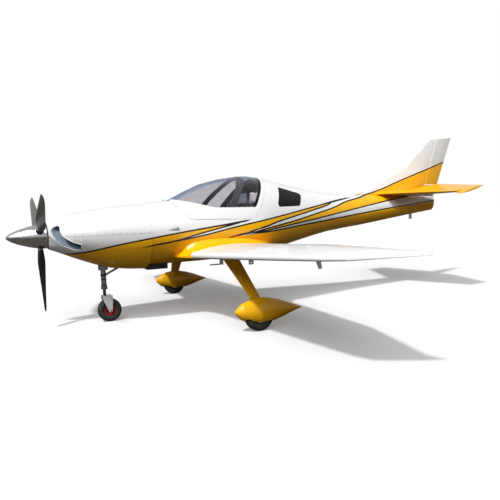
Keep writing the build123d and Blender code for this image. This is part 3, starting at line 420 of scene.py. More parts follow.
# Blue-grey of the inlet throat: painted shade with a painted sky reflection
THROAT_PAINTED_SHADE = moulded("inlet_throat", (0.17, 0.22, 0.29, 1), (0.10, 0.13, 0.17, 1), 0.5, 500.0, 0.1)
BLADE_BACK = moulded("blade_back_black", (0.02, 0.02, 0.022, 1), (0.05, 0.05, 0.052, 1), 0.6)
RUBBER = moulded("tyre_rubber", (0.018, 0.018, 0.019, 1), (0.055, 0.052, 0.048, 1), 0.72, 700.0)
TRIM = moulded("cabin_trim", (0.016, 0.016, 0.018, 1), (0.028, 0.028, 0.03, 1), 0.65, 600.0)
PANEL_COAT = moulded("panel_coat", (0.02, 0.021, 0.023, 1), (0.034, 0.034, 0.036, 1), 0.55)
# Black paint of real parts, also used as painted shade in the inlet backs, the vent's rear end and the hubs'
# hole discs
BLACK_COAT_AND_PAINTED_SHADE = moulded("duct_black_and_painted_shade", (0.014, 0.014, 0.015, 1), (0.04, 0.036, 0.032, 1), 0.5)
SEAT_HIDE = moulded("seat_hide", (0.62, 0.59, 0.55, 1), (0.70, 0.67, 0.62, 1), 0.55, 420.0, 0.4)
SEAT_SHELL = moulded("seat_shell", (0.05, 0.05, 0.053, 1), (0.08, 0.08, 0.082, 1), 0.5, 700.0, 0.15)
WEBBING = moulded("harness_webbing", (0.03, 0.032, 0.04, 1), (0.05, 0.05, 0.06, 1), 0.8, 650.0, 0.5)
HUB_RED = moulded("hub_red", (0.42, 0.012, 0.014, 1), (0.20, 0.01, 0.012, 1), 0.35, 800.0, 0.08)
DIAL_MARK = moulded("dial_mark", (0.75, 0.75, 0.72, 1), (0.65, 0.65, 0.6, 1), 0.6, 900.0, 0.05)
ENGINE_CAST = metal("engine_cast", (0.20, 0.20, 0.21, 1), 0.5, 0.2)


# Pieces
BODY = {node: body for body, nodes in frame["record"]["behaviour"]["bodies"].items() for node in nodes}
SLOT = {row["node"]: row["material_slot"] for row in frame["record"]["subparts"]}


def riding(piece, body):
    """The piece moves with a body."""
    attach(piece, body)


def stand_in(piece, node):
    """The piece takes a node's place, on its body."""
    riding(piece, BODY[node])
    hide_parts(node)


def placed(name, data):
    """A new object of the scene."""
    made = bpy.data.objects.new(name, data)
    bpy.context.scene.collection.objects.link(made)
    return made


def piece_of(name, mesh, *finishes):
    """A new object at the origin with its materials."""
    made = placed(name, mesh)
    for number, coat in enumerate(finishes):
        if number < len(mesh.materials):
            mesh.materials[number] = coat
        else:
            mesh.materials.append(coat)
    return made


FAIR_ANGLE = 28.0


def faired(node, coat, lining=None, lined=None):
    """A merged copy of a node, shaded as one fair surface; the faces that lined() picks take the lining."""
    mesh = frame["nodes"][node].data.copy()
    mesh.name = node + "_skin"
    form = bmesh.new()
    form.from_mesh(mesh)
    bmesh.ops.remove_doubles(form, verts=form.verts, dist=MERGE)
    for face in form.faces:
        face.material_index = 1 if lined and lined(face.calc_center_median(), face.normal) else 0
    form.to_mesh(mesh)
    form.free()
    if "custom_normal" in mesh.attributes:
        mesh.attributes.remove(mesh.attributes["custom_normal"])
    mesh.shade_smooth()
    mesh.set_sharp_from_angle(angle=radians(FAIR_ANGLE))
    stand_in(piece_of(node + "_fair", mesh, *([coat, lining] if lining else [coat])), node)


# The body's middle line rises aft of the cabin
MIDDLE_Z = 1180.0
MIDDLE_START = 3312.0
MIDDLE_RISE = 0.0615
FACING_IN = -0.25
SHEET_SILL = [(2040.0, 1545.0), (2470.0, 1427.0), (3056.0, 1415.0)]
SILL_MARGIN = 3.0


def faces_in(centre, normal):
    """Whether a face of the body looks into the cabin."""
    station = (centre.x - NOSE) / MM
    middle = MIDDLE_Z + max(0.0, station - MIDDLE_START) * MIDDLE_RISE
    outward = Vector((0, centre.y, centre.z - middle * MM)).normalized()
    return normal.dot(outward) < FACING_IN


def in_canopy(centre, normal):
    """Whether a face of the canopy frame looks inwards or is on the bow behind the sheet."""
    station, height = (centre.x - NOSE) / MM, centre.z / MM
    sill = SHEET_SILL[0][1]
    for (s_low, z_low), (s_high, z_high) in zip(SHEET_SILL, SHEET_SILL[1:]):
        if s_low <= station <= s_high:
            sill = z_low + (z_high - z_low) * (station - s_low) / (s_high - s_low)
    rear = SHEET_REAR[0] + (height - SHEET_REAR[1]) * SHEET_LEAN
    if station > SHEET_SILL[-1][0]:
        sill = SHEET_SILL[-1][1]
    behind = SHEET_SILL[0][0] < station < rear - SILL_MARGIN and height > sill + SILL_MARGIN
    return behind or faces_in(centre, normal)


CROWN_TOP = 346.0


def on_piston(centre, normal):
    """Whether a face of the nose fork is on the piston over its crown."""
    return centre.z > CROWN_TOP * MM


FAIRED = [
    (COWL_LIVERY, "upper_cowl lower_cowl"), (LIVERY, "fin rudder"),
    (WING_WHITE, "wing_port wing_starboard flap_port flap_starboard aileron_port aileron_starboard"),
    (YELLOW_COAT, "tailplane elevator main_gear_legs wheel_pants_front wheel_pants_rear"),
    (STRUT_METAL, "nose_gear_fairing"), (CANOPY_SHEET, "canopy_glass"), (SMOKED_SHEET, "quarter_windows"),
    (YELLOW_COAT, "wing_root_fairings"),
]
for coat, nodes in FAIRED:
    for node in nodes.split():
        faired(node, coat)
faired("fuselage_shell", LIVERY, TRIM, faces_in)
faired("canopy_frame", LIVERY, TRIM, in_canopy)
faired("nose_fork", FORK_COAT, BLACK_COAT_AND_PAINTED_SHADE, on_piston)

COATED = [
    (STEEL, "canopy_hinge_brackets firewall main_axles nose_axle"), (BLACK_COAT_AND_PAINTED_SHADE, "outlet_duct"),
    (TRIM, "cabin_floor rear_bulkhead pedestal"), (PANEL_COAT, "instrument_panel control_sticks"),
    (CAST_ALLOY, "propeller_hub pitot tie_down_lugs wing_blades"), (ENGINE_CAST, "engine_block"),
    (STRUT_METAL, "nose_strut drag_brace"),
]
for coat, nodes in COATED:
    for node in nodes.split():
        for slot in frame["nodes"][node].material_slots:
            slot.material = coat


# Mesh helpers
def bridge(form, first, second, coat=0):
    """Faces between two rings, either of which may be a single point."""
    count = max(len(first), len(second))
    made = []
    for number in range(count):
        after = (number + 1) % count
        corners = [
            first[number % len(first)], first[after % len(first)],
            second[after % len(second)], second[number % len(second)],
        ]
        face = form.faces.new(list(dict.fromkeys(corners)))
        face.material_index = coat
        made.append(face)
    return made


def lathe(form, profile, origin, axis, steps=40, closed=False, coat=0):
    """Turn a profile of distances along and from an axis into a skin."""
    side = axis.orthogonal().normalized()
    up = axis.cross(side)
    turns = [2 * pi * step / steps for step in range(steps)]
    ways = [side * cos(turn) + up * sin(turn) for turn in turns]
    rings = []
    for along, radius in profile:
        middle = origin + axis * along * MM
        outline = [middle + way * radius * MM for way in ways] if radius else [middle]
        rings.append([form.verts.new(point) for point in outline])
    for first, second in zip(rings, rings[1:] + rings[:1] if closed else rings[1:]):
        bridge(form, first, second, coat)


def formed(name, form, *finishes, sharp=30.0):
    """A new object of a finished form, with its faces turned outwards."""
    bmesh.ops.remove_doubles(form, verts=form.verts, dist=MERGE)
    bmesh.ops.recalc_face_normals(form, faces=form.faces)
    mesh = bpy.data.meshes.new(name)
    form.to_mesh(mesh)
    form.free()
    mesh.shade_smooth()
    mesh.set_sharp_from_angle(angle=radians(sharp))
    return piece_of(name, mesh, *finishes)


def settled(piece):
    """The piece's mesh with its modifiers worked in."""
    bpy.context.view_layer.update()
    plain = bpy.data.meshes.new_from_object(piece.evaluated_get(bpy.context.evaluated_depsgraph_get()))
    piece.modifiers.clear()
    return plain


def fair_line(points, steps):
    """A smooth run through rows of numbers."""
    run = []
    last = len(points) - 1
    for number in range(last):
        rows = [points[max(number - 1, 0)], points[number], points[number + 1], points[min(number + 2, last)]]
        for step in range(steps):
            share = step / steps
            row = []
            for before, start, end, after in zip(*rows):
                bend = 2 * before - 5 * start + 4 * end - after
                twist = 3 * start - before - 3 * end + after
                row.append(start + 0.5 * share * (end - before + share * (bend + share * twist)))
            run.append(tuple(row))
    return run + [tuple(points[-1])]


def skin_of(*nodes):
    """The skins of some nodes, for setting pieces on them."""
    form = bmesh.new()
    for node in nodes:
        form.from_mesh(frame["nodes"][node].data)
    tree = BVHTree.FromBMesh(form)
    form.free()
    return tree


def fastener_tree():
    """Heads set on points, each turned the way its point faces."""
    tree = bpy.data.node_groups.new("fasteners", "GeometryNodeTree")
    sockets = [
        ("Points", "Geometry"), ("Radius", "Float"), ("Height", "Float"), ("Taper", "Float"),
        ("Sides", "Int"), ("Finish", "Material"),
    ]
    for label, kind in sockets:
        tree.interface.new_socket(label, in_out="INPUT", socket_type="NodeSocket" + kind)
    tree.interface.new_socket("Heads", in_out="OUTPUT", socket_type="NodeSocketGeometry")
    new = tree.nodes.new
    start = new("NodeGroupInput").outputs
    end = new("NodeGroupOutput").inputs
    head = new("GeometryNodeMeshCone")
    top = new("ShaderNodeMath")
    top.operation = "MULTIPLY"
    way = new("GeometryNodeInputNamedAttribute")
    way.data_type = "FLOAT_VECTOR"
    way.inputs["Name"].default_value = "way"
    turn = new("FunctionNodeAlignRotationToVector")
    turn.axis = "Z"
    spread = new("GeometryNodeInstanceOnPoints")
    real = new("GeometryNodeRealizeInstances")
    coat = new("GeometryNodeSetMaterial")
    for source, target in (
        (start["Radius"], top.inputs[0]), (start["Taper"], top.inputs[1]),
        (start["Sides"], head.inputs["Vertices"]), (start["Height"], head.inputs["Depth"]),
        (top.outputs[0], head.inputs["Radius Top"]), (start["Radius"], head.inputs["Radius Bottom"]),
        (way.outputs["Attribute"], turn.inputs["Vector"]), (start["Points"], spread.inputs["Points"]),
        (head.outputs["Mesh"], spread.inputs["Instance"]), (spread.outputs["Instances"], real.inputs[0]),
        (turn.outputs["Rotation"], spread.inputs["Rotation"]), (real.outputs[0], coat.inputs["Geometry"]),
        (start["Finish"], coat.inputs["Material"]), (coat.outputs[0], end["Heads"]),
    ):
        tree.links.new(source, target)
    return tree


FASTENERS = fastener_tree()


def fasteners(name, body, slot, spots, coat, radius, height, taper=0.72, sides=12):
    """Heads on spots, each a point and the way it faces, as one plain mesh of a body."""
    points = bpy.data.meshes.new(name + "_points")
    points.from_pydata([tuple(point) for point, way in spots], [], [])
    ways = points.attributes.new("way", "FLOAT_VECTOR", "POINT")
    for entry, (point, way) in zip(ways.data, spots):
        entry.vector = way
    holder = piece_of(name + "_points", points)
    modifier = holder.modifiers.new("heads", "NODES")
    modifier.node_group = FASTENERS
    sizes = {"Radius": radius * MM, "Height": height * MM, "Taper": taper, "Sides": sides, "Finish": coat}
    for item in FASTENERS.interface.items_tree:
        if item.in_out == "INPUT" and item.name in sizes:
            modifier[item.identifier] = sizes[item.name]
    heads = settled(holder)
    bpy.data.objects.remove(holder)
    riding(piece_of(name, heads, coat), body)


def spokes(count, start=0.0, axis="X"):
    """Ways out from an axis, evenly spread round it."""
    turns = [start + 360.0 * number / count for number in range(count)]
    return [Matrix.Rotation(radians(turn), 3, axis) @ UP for turn in turns]


# Propeller
THRUST = at(0, 0, 1145)
SPINNER_PROFILE = [
    (0, 0), (4, 11), (22, 29), (60, 53), (120, 80), (190, 104), (270, 126), (350, 141), (445, 150),
]
SPINNER_INSIDE = [(445, 144), (300, 124), (120, 72), (40, 0)]
SPINNER_HOLE = 47.0
HOLE_START = 66.0
HOLE_END = 220.0
BLADE_STATION = 377.0
BLADE_MIDDLE = THRUST + AFT * BLADE_STATION * MM
BLADES = 3
FIRST_BLADE = 180.0
# Radius, chord, thickness, pitch in degrees and sharpness of the edges
BLADE_ROWS = [
    (62, 68, 68, 52, 0), (128, 68, 66, 52, 0), (165, 76, 54, 51, 0.05), (240, 118, 38, 46, 0.3),
    (330, 150, 30, 40, 0.5), (480, 152, 23, 32, 0.5), (640, 146, 17, 25, 0.5), (760, 130, 13, 21.5, 0.5),
    (860, 110, 10, 19, 0.5), (900, 90, 7.5, 17.8, 0.5), (916, 66, 6, 17.2, 0.5), (922, 34, 4, 17, 0.5),
]
BLADE_STEPS = 4
BLADE_BARE = 8
BLADE_AROUND = 28
SPINNER_SCREWS = 18
SCREW_STATION = 432.0
SCREW_OUT = 148.4


def spinner_shell():
    """Spun mirror shell with an opening for each blade."""
    form = bmesh.new()
    lathe(form, fair_line(SPINNER_PROFILE, 6) + SPINNER_INSIDE, THRUST, AFT, steps=96)
    shell = formed("spinner_shell", form, MIRROR_METAL)
    cutters = bmesh.new()
    hole = [(HOLE_START, 0), (HOLE_START, SPINNER_HOLE), (HOLE_END, SPINNER_HOLE), (HOLE_END, 0)]
    for way in spokes(BLADES, FIRST_BLADE):
        lathe(cutters, hole, BLADE_MIDDLE, way)
    cutter = formed("spinner_cutter", cutters)
    cut = shell.modifiers.new("openings", "BOOLEAN")
    cut.operation = "DIFFERENCE"
    cut.solver = "EXACT"
    cut.object = cutter
    shell.data = settled(shell)
    shell.data.set_sharp_from_angle(angle=radians(35))
    bpy.data.objects.remove(cutter)
    stand_in(shell, "spinner")


def blade_set():
    """Three twisted blades, pale ahead and black behind."""
    form = bmesh.new()
    for number in range(BLADES):
        turned = Matrix.Rotation(radians(FIRST_BLADE + 360.0 * number / BLADES), 3, "X")
        rings = []
        for radius, chord, thick, pitch, edge in fair_line(BLADE_ROWS, BLADE_STEPS):
            lean = radians(pitch)
            along = Vector((-sin(lean), cos(lean), 0))
            ahead = Vector((-cos(lean), -sin(lean), 0))
            ring = []
            for step in range(BLADE_AROUND):
                angle = 2 * pi * step / BLADE_AROUND
                rise = sin(angle) * abs(sin(angle)) ** max(edge, 0.0)
                point = along * cos(angle) * chord / 2 + ahead * rise * thick / 2 + UP * radius
                ring.append(form.verts.new(BLADE_MIDDLE + turned @ point * MM))
            rings.append(ring)
        for row, (first, second) in enumerate(zip(rings, rings[1:])):
            for face in bridge(form, first, second)[BLADE_AROUND // 2 :]:
                face.material_index = 1 if row >= BLADE_BARE else 0
        form.faces.new(rings[0])
        form.faces.new(rings[-1])
    blades = formed("propeller_blade_set", form, BLADE_METAL, BLADE_BACK, sharp=40.0)
    stand_in(blades, "propeller_blades")


def spinner_screws():
    """Ring of screws that holds the shell to its plate."""
    middle = THRUST + AFT * SCREW_STATION * MM
    spots = [(middle + way * SCREW_OUT * MM, way) for way in spokes(SPINNER_SCREWS, 10.0)]
    fasteners("spinner_screws", "propeller", "steel", spots, STEEL, radius=4.5, height=1.6)


spinner_shell()
blade_set()
spinner_screws()


# Wheels
# Sections as places across and distances out: shares of width and wall, and a groove's half widths and depths
TYRE_WALL = [
    (0.455, 0.24), (0.480, 0.33), (0.486, 0.34), (0.492, 0.36), (0.5, 0.50), (0.492, 0.64), (0.465, 0.77),
    (0.42, 0.875), (0.36, 0.945), (0.29, 0.985),
]
GROOVES = (0.19, 0.07)
GROOVE = [(3.4, 0.2), (2.4, 1.2), (1.8, 6.0), (-1.8, 6.0), (-2.4, 1.2), (-3.4, 0.0)]
HUB_WEB = 0.08
HUB_HOLES = 6
# Each ring of heads on a hub: its first turn, how deep it is sunk, and its look
HUB_RINGS = {
    # Black discs painted as the shade inside lightening holes
    "_holes": (0.0, 0.3, {"coat": BLACK_COAT_AND_PAINTED_SHADE, "radius": 7.5, "height": 0.6, "taper": 0.98, "sides": 20}),
    "_bolts": (30.0, 0.5, {"coat": STEEL, "radius": 4.2, "height": 4.5, "taper": 0.92, "sides": 6}),
}


def mirrored(half):
    """Half a section and its other half."""
    return half + [(-across, out) for across, out in reversed(half)]


def tyre_profile(radius, width, rim, seat):
    """Section of a tyre with ribbed tread, from bead to bead."""
    half = [(seat - 2, rim + 0.5), (seat + 1, rim + 9)]
    half += [(across * width, rim + out * (radius - rim)) for across, out in TYRE_WALL]
    for share in GROOVES:
        half += [(share * width + across, radius - depth) for across, depth in GROOVE]
    return mirrored(half)


def hub_profile(width, rim, seat, bore):
    """Section of a spun hub: boss, thin web and rolled flanges."""
    web = HUB_WEB * width
    return mirrored([
        (seat + 1, bore), (seat + 1, bore + 9), (seat - 3, bore + 13), (web + 6, bore + 15), (web, bore + 21),
        (web, rim - 18), (web + 4, rim - 13), (seat - 8, rim - 9), (seat - 1, rim - 7), (seat + 2, rim - 4),
        (seat + 3.5, rim + 3), (seat + 3, rim + 7), (seat + 1, rim + 7.5), (seat + 0.5, rim + 1),
    ])


def wheel(tyre, hub, station, y, radius, width, rim, seat, bore, coat):
    """Ribbed tyre and dished hub, with bolts and black discs painted as the shade of lightening holes on both
    faces.
    """
    middle = at(station, y, radius)
    form = bmesh.new()
    lathe(form, tyre_profile(radius, width, rim, seat), middle, ACROSS, steps=96, closed=True)
    stand_in(formed(tyre + "_ribbed", form, RUBBER), tyre)
    form = bmesh.new()
    lathe(form, hub_profile(width, rim, seat, bore), middle, ACROSS, steps=64, closed=True)
    stand_in(formed(hub + "_dished", form, coat), hub)
    ring = (rim + bore + 3) / 2
    for label, (turn, sunk, look) in HUB_RINGS.items():
        rise = HUB_WEB * width - sunk
        spots = [
            (middle + spoke * ring * MM + way * rise * MM, way)
            for way in (-ACROSS, ACROSS) for spoke in spokes(HUB_HOLES, turn, "Y")
        ]
        fasteners(hub + label, BODY[hub], SLOT[hub], spots, **look)


# Tyre, hub, station, side, radius, width, rim, bead seat and bore of each wheel, and its hub's finish
WHEELS = [
    ("nose_tyre", "nose_hub", 1155, 0, 152, 100, 64, 36, 10.3, HUB_RED),
    ("main_tyre_port", "main_hub_port", 2555, -1500, 172, 126, 66, 45.4, 14.3, CAST_ALLOY),
    ("main_tyre_starboard", "main_hub_starboard", 2555, 1500, 172, 126, 66, 45.4, 14.3, CAST_ALLOY),
]
for row in WHEELS:
    wheel(*row)


# Nose leg
STEER_STATION = 1105.0
# Height, half depth and radius of each clamp
LEG_BANDS = [(612, 15, 37.5), (560, 7, 35.5), (478, 9, 36.5)]
BAND_BORE = 32.5


def leg_bands():
    """Dark clamps round the nose strut."""
    form = bmesh.new()
    for height, half, radius in LEG_BANDS:
        profile = mirrored([(-half, BAND_BORE), (-half, radius - 1), (-half + 1, radius)])
        lathe(form, profile, at(STEER_STATION, 0, height), UP, closed=True)
    riding(formed("nose_leg_bands", form, BLACK_COAT_AND_PAINTED_SHADE), "airframe")


leg_bands()


# Cooling inlets
INLET_Y = 292.0
INLET_Z = 1122.0
INLET_HALF = 115.0
INLET_R = 48.0
INLET_TILT = 31.0
INLET_STEPS = 22
INLET_SIDE = 18
INLET_BACK = 794.0
# Growth over the opening, rise over the skin and depth behind it
LIP_ROWS = [(9, -1.0, 0), (7, 2.0, 0), (3.5, 4.0, 0), (0.8, 3.0, 0), (-4, 0.0, 4), (-6, 0.0, 26)]
LIP_FOOT = 0.8
LIP_END = 4
THROAT_END = 6


def inlet_edge(side, grow):
    """Points round a cooling inlet, seen from ahead: two half rounds and the straight sides between them."""
    lean = radians(90 + side * INLET_TILT)
    long = Vector((0, cos(lean), sin(lean)))
    wide = Vector((0, -sin(lean), cos(lean)))
    points = []
    for end in (1, -1):
        middle = Vector((0, side * INLET_Y, INLET_Z)) + long * end * INLET_HALF
        for step in range(INLET_STEPS + 1):
            turn = pi * (step / INLET_STEPS - 0.5)
            points.append(middle + (long * cos(turn) + wide * sin(turn)) * end * (INLET_R + grow))
        for step in range(1, INLET_SIDE):
            points.append(points[-step] - long * end * 2 * INLET_HALF * step / INLET_SIDE)
    return [point * MM for point in points]


def tucked(skin, place, rise):
    """The place, drawn back to a rise over the skin where it stands off it."""
    near, normal = skin.find_nearest(place)[:2]
    return near + normal * rise * MM if (place - near).dot(normal) > rise * MM else place


def inlet_throats():
    """Rolled lip, throat and black back of each cooling inlet; the throat's blue-grey is painted shade and
    sky reflection, and the black back is painted shade deep inside.
    """
    skin = skin_of("upper_cowl", "lower_cowl")
    form = bmesh.new()
    back = INLET_BACK * MM + NOSE
    for side in (-1, 1):
        rings = []
        for grow, rise, depth in LIP_ROWS:
            stop = back + grow * MM
            ring = []
            for point, foot in zip(inlet_edge(side, grow), inlet_edge(side, max(grow, LIP_FOOT))):
                hit, normal = skin.ray_cast(Vector((2 * NOSE, foot.y, foot.z)), AFT)[:2]
                place = Vector((hit.x + depth * MM, point.y, point.z)) + normal * rise * MM
                if place.x > stop:
                    place = tucked(skin, Vector((stop, point.y, point.z)), rise)
                ring.append(form.verts.new(place))
            rings.append(ring)
        rings.append([form.verts.new((back, vert.co.y, vert.co.z)) for vert in rings[-1]])
        rings.append([form.verts.new((back, side * INLET_Y * MM, INLET_Z * MM))])
        for number, (first, second) in enumerate(zip(rings, rings[1:])):
            # Lip in livery, throat in painted shade and reflection, back in black as painted shade
            bridge(form, first, second, (number >= LIP_END) + (number >= THROAT_END))
    throats = formed("inlet_throats", form, LIVERY, THROAT_PAINTED_SHADE, BLACK_COAT_AND_PAINTED_SHADE)
    riding(throats, "airframe")


inlet_throats()


# Side vent on the port deck
# Station, height, half width and rise of each section, and a section's shares of both
VENT_ROWS = [
    (1815, 1168, 1, 0), (1850, 1174, 8, 3), (1900, 1180, 14, 8), (1945, 1186, 18, 13), (1957, 1187, 18.5, 14),
]
VENT_SECTION = [(-1.25, -1.0), (-1.0, 0.45), (-0.6, 0.9), (0.0, 1.0), (0.6, 0.9), (1.0, 0.45), (1.25, -1.0)]
OUTSIDE = 900.0


def side_vent():
    """Raised wedge, low on the port side, whose closed rear end is painted black as the shade of an opening;
    its long edges are sunk a millimetre.
    """
    skin = skin_of("fuselage_shell")
    form = bmesh.new()
    rings = []
    for station, height, half, rise in VENT_ROWS:
        ring = []
        for share, lift in VENT_SECTION:
            point, normal = skin.ray_cast(at(station, -OUTSIDE, height + share * half), ACROSS)[:2]
            ring.append(form.verts.new(point + normal * (rise * lift if lift > 0 else lift) * MM))
        rings.append(ring)
    for first, second in zip(rings, rings[1:]):
        for number in range(len(first) - 1):
            form.faces.new([first[number], first[number + 1], second[number + 1], second[number]])
    # The rear end is a black face: painted shade of an opening
    form.faces.new(rings[-1]).material_index = 1
    riding(formed("side_vent", form, VENT_COAT, BLACK_COAT_AND_PAINTED_SHADE, sharp=40.0), "airframe")


side_vent()


# Screws
SCREW_SUNK = 0.4
COWL_STATIONS = range(730, 1581, 85)
COWL_LEVELS = (COWL_SPLIT - 15, COWL_SPLIT + 15)
RIM_MIDDLE = at(1609, 0, 1110)
RIM_OUT = 1.2
RIM_SCREWS = 36
PANT_JOINT = ((2417.0, 378.0), (2603.0, 91.0))
PANT_SHIFT = (17.0, 10.0)
PANT_Y = 1500.0
PANT_OUT = 300.0
PANT_SHARES = [0.1 + 0.125 * number for number in range(7)]


def seated(skin, rays):
    """Where rays meet a skin, a little sunk, with the way the skin faces there."""
    hits = [skin.ray_cast(start, way)[:2] for start, way in rays]
    return [(point - normal * SCREW_SUNK * MM, normal) for point, normal in hits if point is not None]


def cowl_screws():
    """Rows of screws along the cowl's split and round its rear edge."""
    rays = [
        (at(station, side * OUTSIDE, height), ACROSS * -side)
        for side in (-1, 1) for height in COWL_LEVELS for station in COWL_STATIONS
    ]
    rays += [(RIM_MIDDLE + way * RIM_OUT, -way) for way in spokes(RIM_SCREWS, 5.0)]
    spots = seated(skin_of("upper_cowl", "lower_cowl"), rays)
    fasteners("cowl_screws", "airframe", "steel", spots, STEEL, radius=5.5, height=1.5)


def pant_screws():
    """Screws behind the slanted joint of each wheel pant."""
    rays = []
    (s_top, z_top), (s_low, z_low) = PANT_JOINT
    for side in (-1, 1):
        for face in (-1, 1):
            for share in PANT_SHARES:
                station = s_top + (s_low - s_top) * share + PANT_SHIFT[0]
                height = z_top + (z_low - z_top) * share + PANT_SHIFT[1]
                rays.append((at(station, side * PANT_Y + face * PANT_OUT, height), ACROSS * -face))
    spots = seated(skin_of("wheel_pants_rear"), rays)
    fasteners("pant_screws", "airframe", "steel", spots, STEEL, radius=5.0, height=1.4)


cowl_screws()
pant_screws()


# Seats
SEAT_Y = 232.0
PAD_VOXEL = 0.006
PAD_CAP = 0.012
PAD_FRAMES = 20
PAD_PRESSURE = 4.0
PAD_FACE = Vector((-0.6, 0, 0.8))
# Side outline and width of each pad, and of each part of the shell with its distance off the middle
PADS = [
    ([(2578, 868), (2576, 912), (2606, 928), (2945, 890), (3000, 893), (2985, 868)], 366),
    ([(2985, 932), (3186, 1434), (3226, 1418), (3034, 918)], 366),
    ([(3190, 1460), (3208, 1616), (3262, 1616), (3266, 1460)], 290),
]
SHELLS = [
    ([(2562, 814), (2562, 862), (2990, 862), (3060, 814)], 386, 0),
    ([(3046, 862), (3240, 1424), (3286, 1462), (3078, 816), (3046, 816)], 386, 0),
    ([(3222, 1420), (3236, 1500), (3250, 1500), (3246, 1420)], 20, 60),
]
CHANNELS = (62.0, -62.0)
CHANNEL_HALF = 9.0
CHANNEL_DEPTH = 7.0
SHELL_ROUND = 0.008


def side_prism(form, outline, y, width):
    """A side outline of station and height carried across a width."""
    rings = []
    for edge in (-0.5, 0.5):
        rings.append([form.verts.new(at(station, y + edge * width, height)) for station, height in outline])
    bridge(form, rings[0], rings[1])
    form.faces.new(rings[0])
    form.faces.new(rings[1])


def seat_pads():
    """Seat, back and head pads, swollen from inside as cloth and then sewn with two channels."""
    form = bmesh.new()
    for side in (-1, 1):
        for outline, width in PADS:
            side_prism(form, outline, side * SEAT_Y, width)
    pads = formed("seat_pads", form, SEAT_HIDE)
    even = pads.modifiers.new("even", "REMESH")
    even.mode = "VOXEL"
    even.voxel_size = PAD_VOXEL
    pads.data = settled(pads)
    rest = [point.co.copy() for point in pads.data.vertices]
    swell = pads.modifiers.new("swell", "CLOTH")
    swell.settings.use_pressure = True
    swell.settings.uniform_pressure_force = PAD_PRESSURE
    swell.settings.effector_weights.gravity = 0.0
    swell.point_cache.frame_start = 1
    swell.point_cache.frame_end = PAD_FRAMES
    for number in range(1, PAD_FRAMES + 1):
        bpy.context.scene.frame_set(number)
    pads.data = settled(pads)
    bpy.context.scene.frame_set(1)
    for point, start in zip(pads.data.vertices, rest):
        move = point.co - start
        if move.length > PAD_CAP:
            point.co = start + move.normalized() * PAD_CAP
    mesh = pads.data
    sunk = []
    for point in mesh.vertices:
        shown = max(0.0, point.normal.dot(PAD_FACE))
        across = abs(point.co.y) / MM - SEAT_Y
        depth = sum(exp(-(((across - line) / CHANNEL_HALF) ** 2)) for line in CHANNELS)
        sunk.append(point.co - point.normal * depth * shown * CHANNEL_DEPTH * MM)
    for point, place in zip(mesh.vertices, sunk):
        point.co = place
    mesh.shade_smooth()
    stand_in(pads, "seats")


def seat_shells():
    """Moulded pans and backs under the pads, with posts for the head pads."""
    form = bmesh.new()
    for side in (-1, 1):
        for outline, width, apart in SHELLS:
            for shift in sorted({-apart, apart}):
                side_prism(form, outline, side * SEAT_Y + shift, width)
    shells = formed("seat_shells", form, SEAT_SHELL)
    soft = shells.modifiers.new("soft", "BEVEL")
    soft.width = SHELL_ROUND
    soft.segments = 3
    shells.data = settled(shells)
    shells.data.shade_smooth()
    shells.data.set_sharp_from_angle(angle=radians(40))
    riding(shells, "airframe")


def ribbon(form, line, across, width, thick):
    """Flat webbing along a line of points."""
    rows = []
    for number, point in enumerate(line):
        along = (line[min(number + 1, len(line) - 1)] - line[max(number - 1, 0)]).normalized()
        rise = along.cross(across).normalized()
        row = []
        for wide, high in ((-1, -1), (1, -1), (1, 1), (-1, 1)):
            row.append(form.verts.new(point + across * wide * width / 2 * MM + rise * high * thick / 2 * MM))
        rows.append(row)
    for first, second in zip(rows, rows[1:]):
        bridge(form, first, second)
    form.faces.new(rows[0])
    form.faces.new(rows[-1])


SHOULDER_LINE = [
    (3282, 0, 1442), (3230, 0, 1447), (3194, 0, 1446), (3166, 0, 1428), (3090, 0, 1252), (3010, -8, 1050),
    (2960, -30, 978), (2925, -52, 952),
]
LAP_LINE = [
    (3010, 196, 880), (2990, 196, 905), (2965, 180, 940), (2945, 120, 953), (2930, 60, 954), (2922, 0, 955),
]
# Line, distance off the seat's middle and way across of each strap
STRAPS = [(SHOULDER_LINE, 74.0, ACROSS), (LAP_LINE, 0.0, Vector((0.86, 0, 0.5)))]
STRAP_WIDTH = 44.0
STRAP_THICK = 2.4
BUCKLE_PROFILE = [(-6, 0), (-6, 30), (4, 33), (9, 30), (11, 22), (11, 0)]
BUCKLE_STATION = 2922.0
BUCKLE_Z = 959.0
BUCKLE_WAY = Vector((-0.3, 0, 0.95)).normalized()


def harness():
    """Shoulder and lap straps of each seat with a round buckle."""
    straps, buckles = bmesh.new(), bmesh.new()
    for side in (-1, 1):
        seat = side * SEAT_Y
        for hand in (-1, 1):
            for points, apart, across in STRAPS:
                run = fair_line(points, 5)
                line = [at(station, seat + hand * (apart + y), height) for station, y, height in run]
                ribbon(straps, line, across, STRAP_WIDTH, STRAP_THICK)
        lathe(buckles, BUCKLE_PROFILE, at(BUCKLE_STATION, seat, BUCKLE_Z), BUCKLE_WAY)
    riding(formed("harness_straps", straps, WEBBING), "airframe")
    riding(formed("harness_buckles", buckles, STEEL), "airframe")


seat_pads()
seat_shells()
harness()


# Instruments
PANEL_FACE = 2312.0
DIALS = [
    (-330, 1335, 38), (-236, 1335, 38), (-142, 1335, 38), (-330, 1238, 38), (-236, 1238, 38),
    (-142, 1238, 38), (142, 1335, 30), (218, 1335, 30), (142, 1258, 30), (218, 1258, 30),
]
NEEDLES = (20, 75, 130, 210, 285, 320, 40, 110, 250, 300)
DIAL_FACE = 5.0
MARKS = 12
MARK_IN = 6.0
MARK_RISE = 4.8
NEEDLE_RISE = 6.5
NEEDLE_TAIL = 6.0
NEEDLE_IN = 11.0


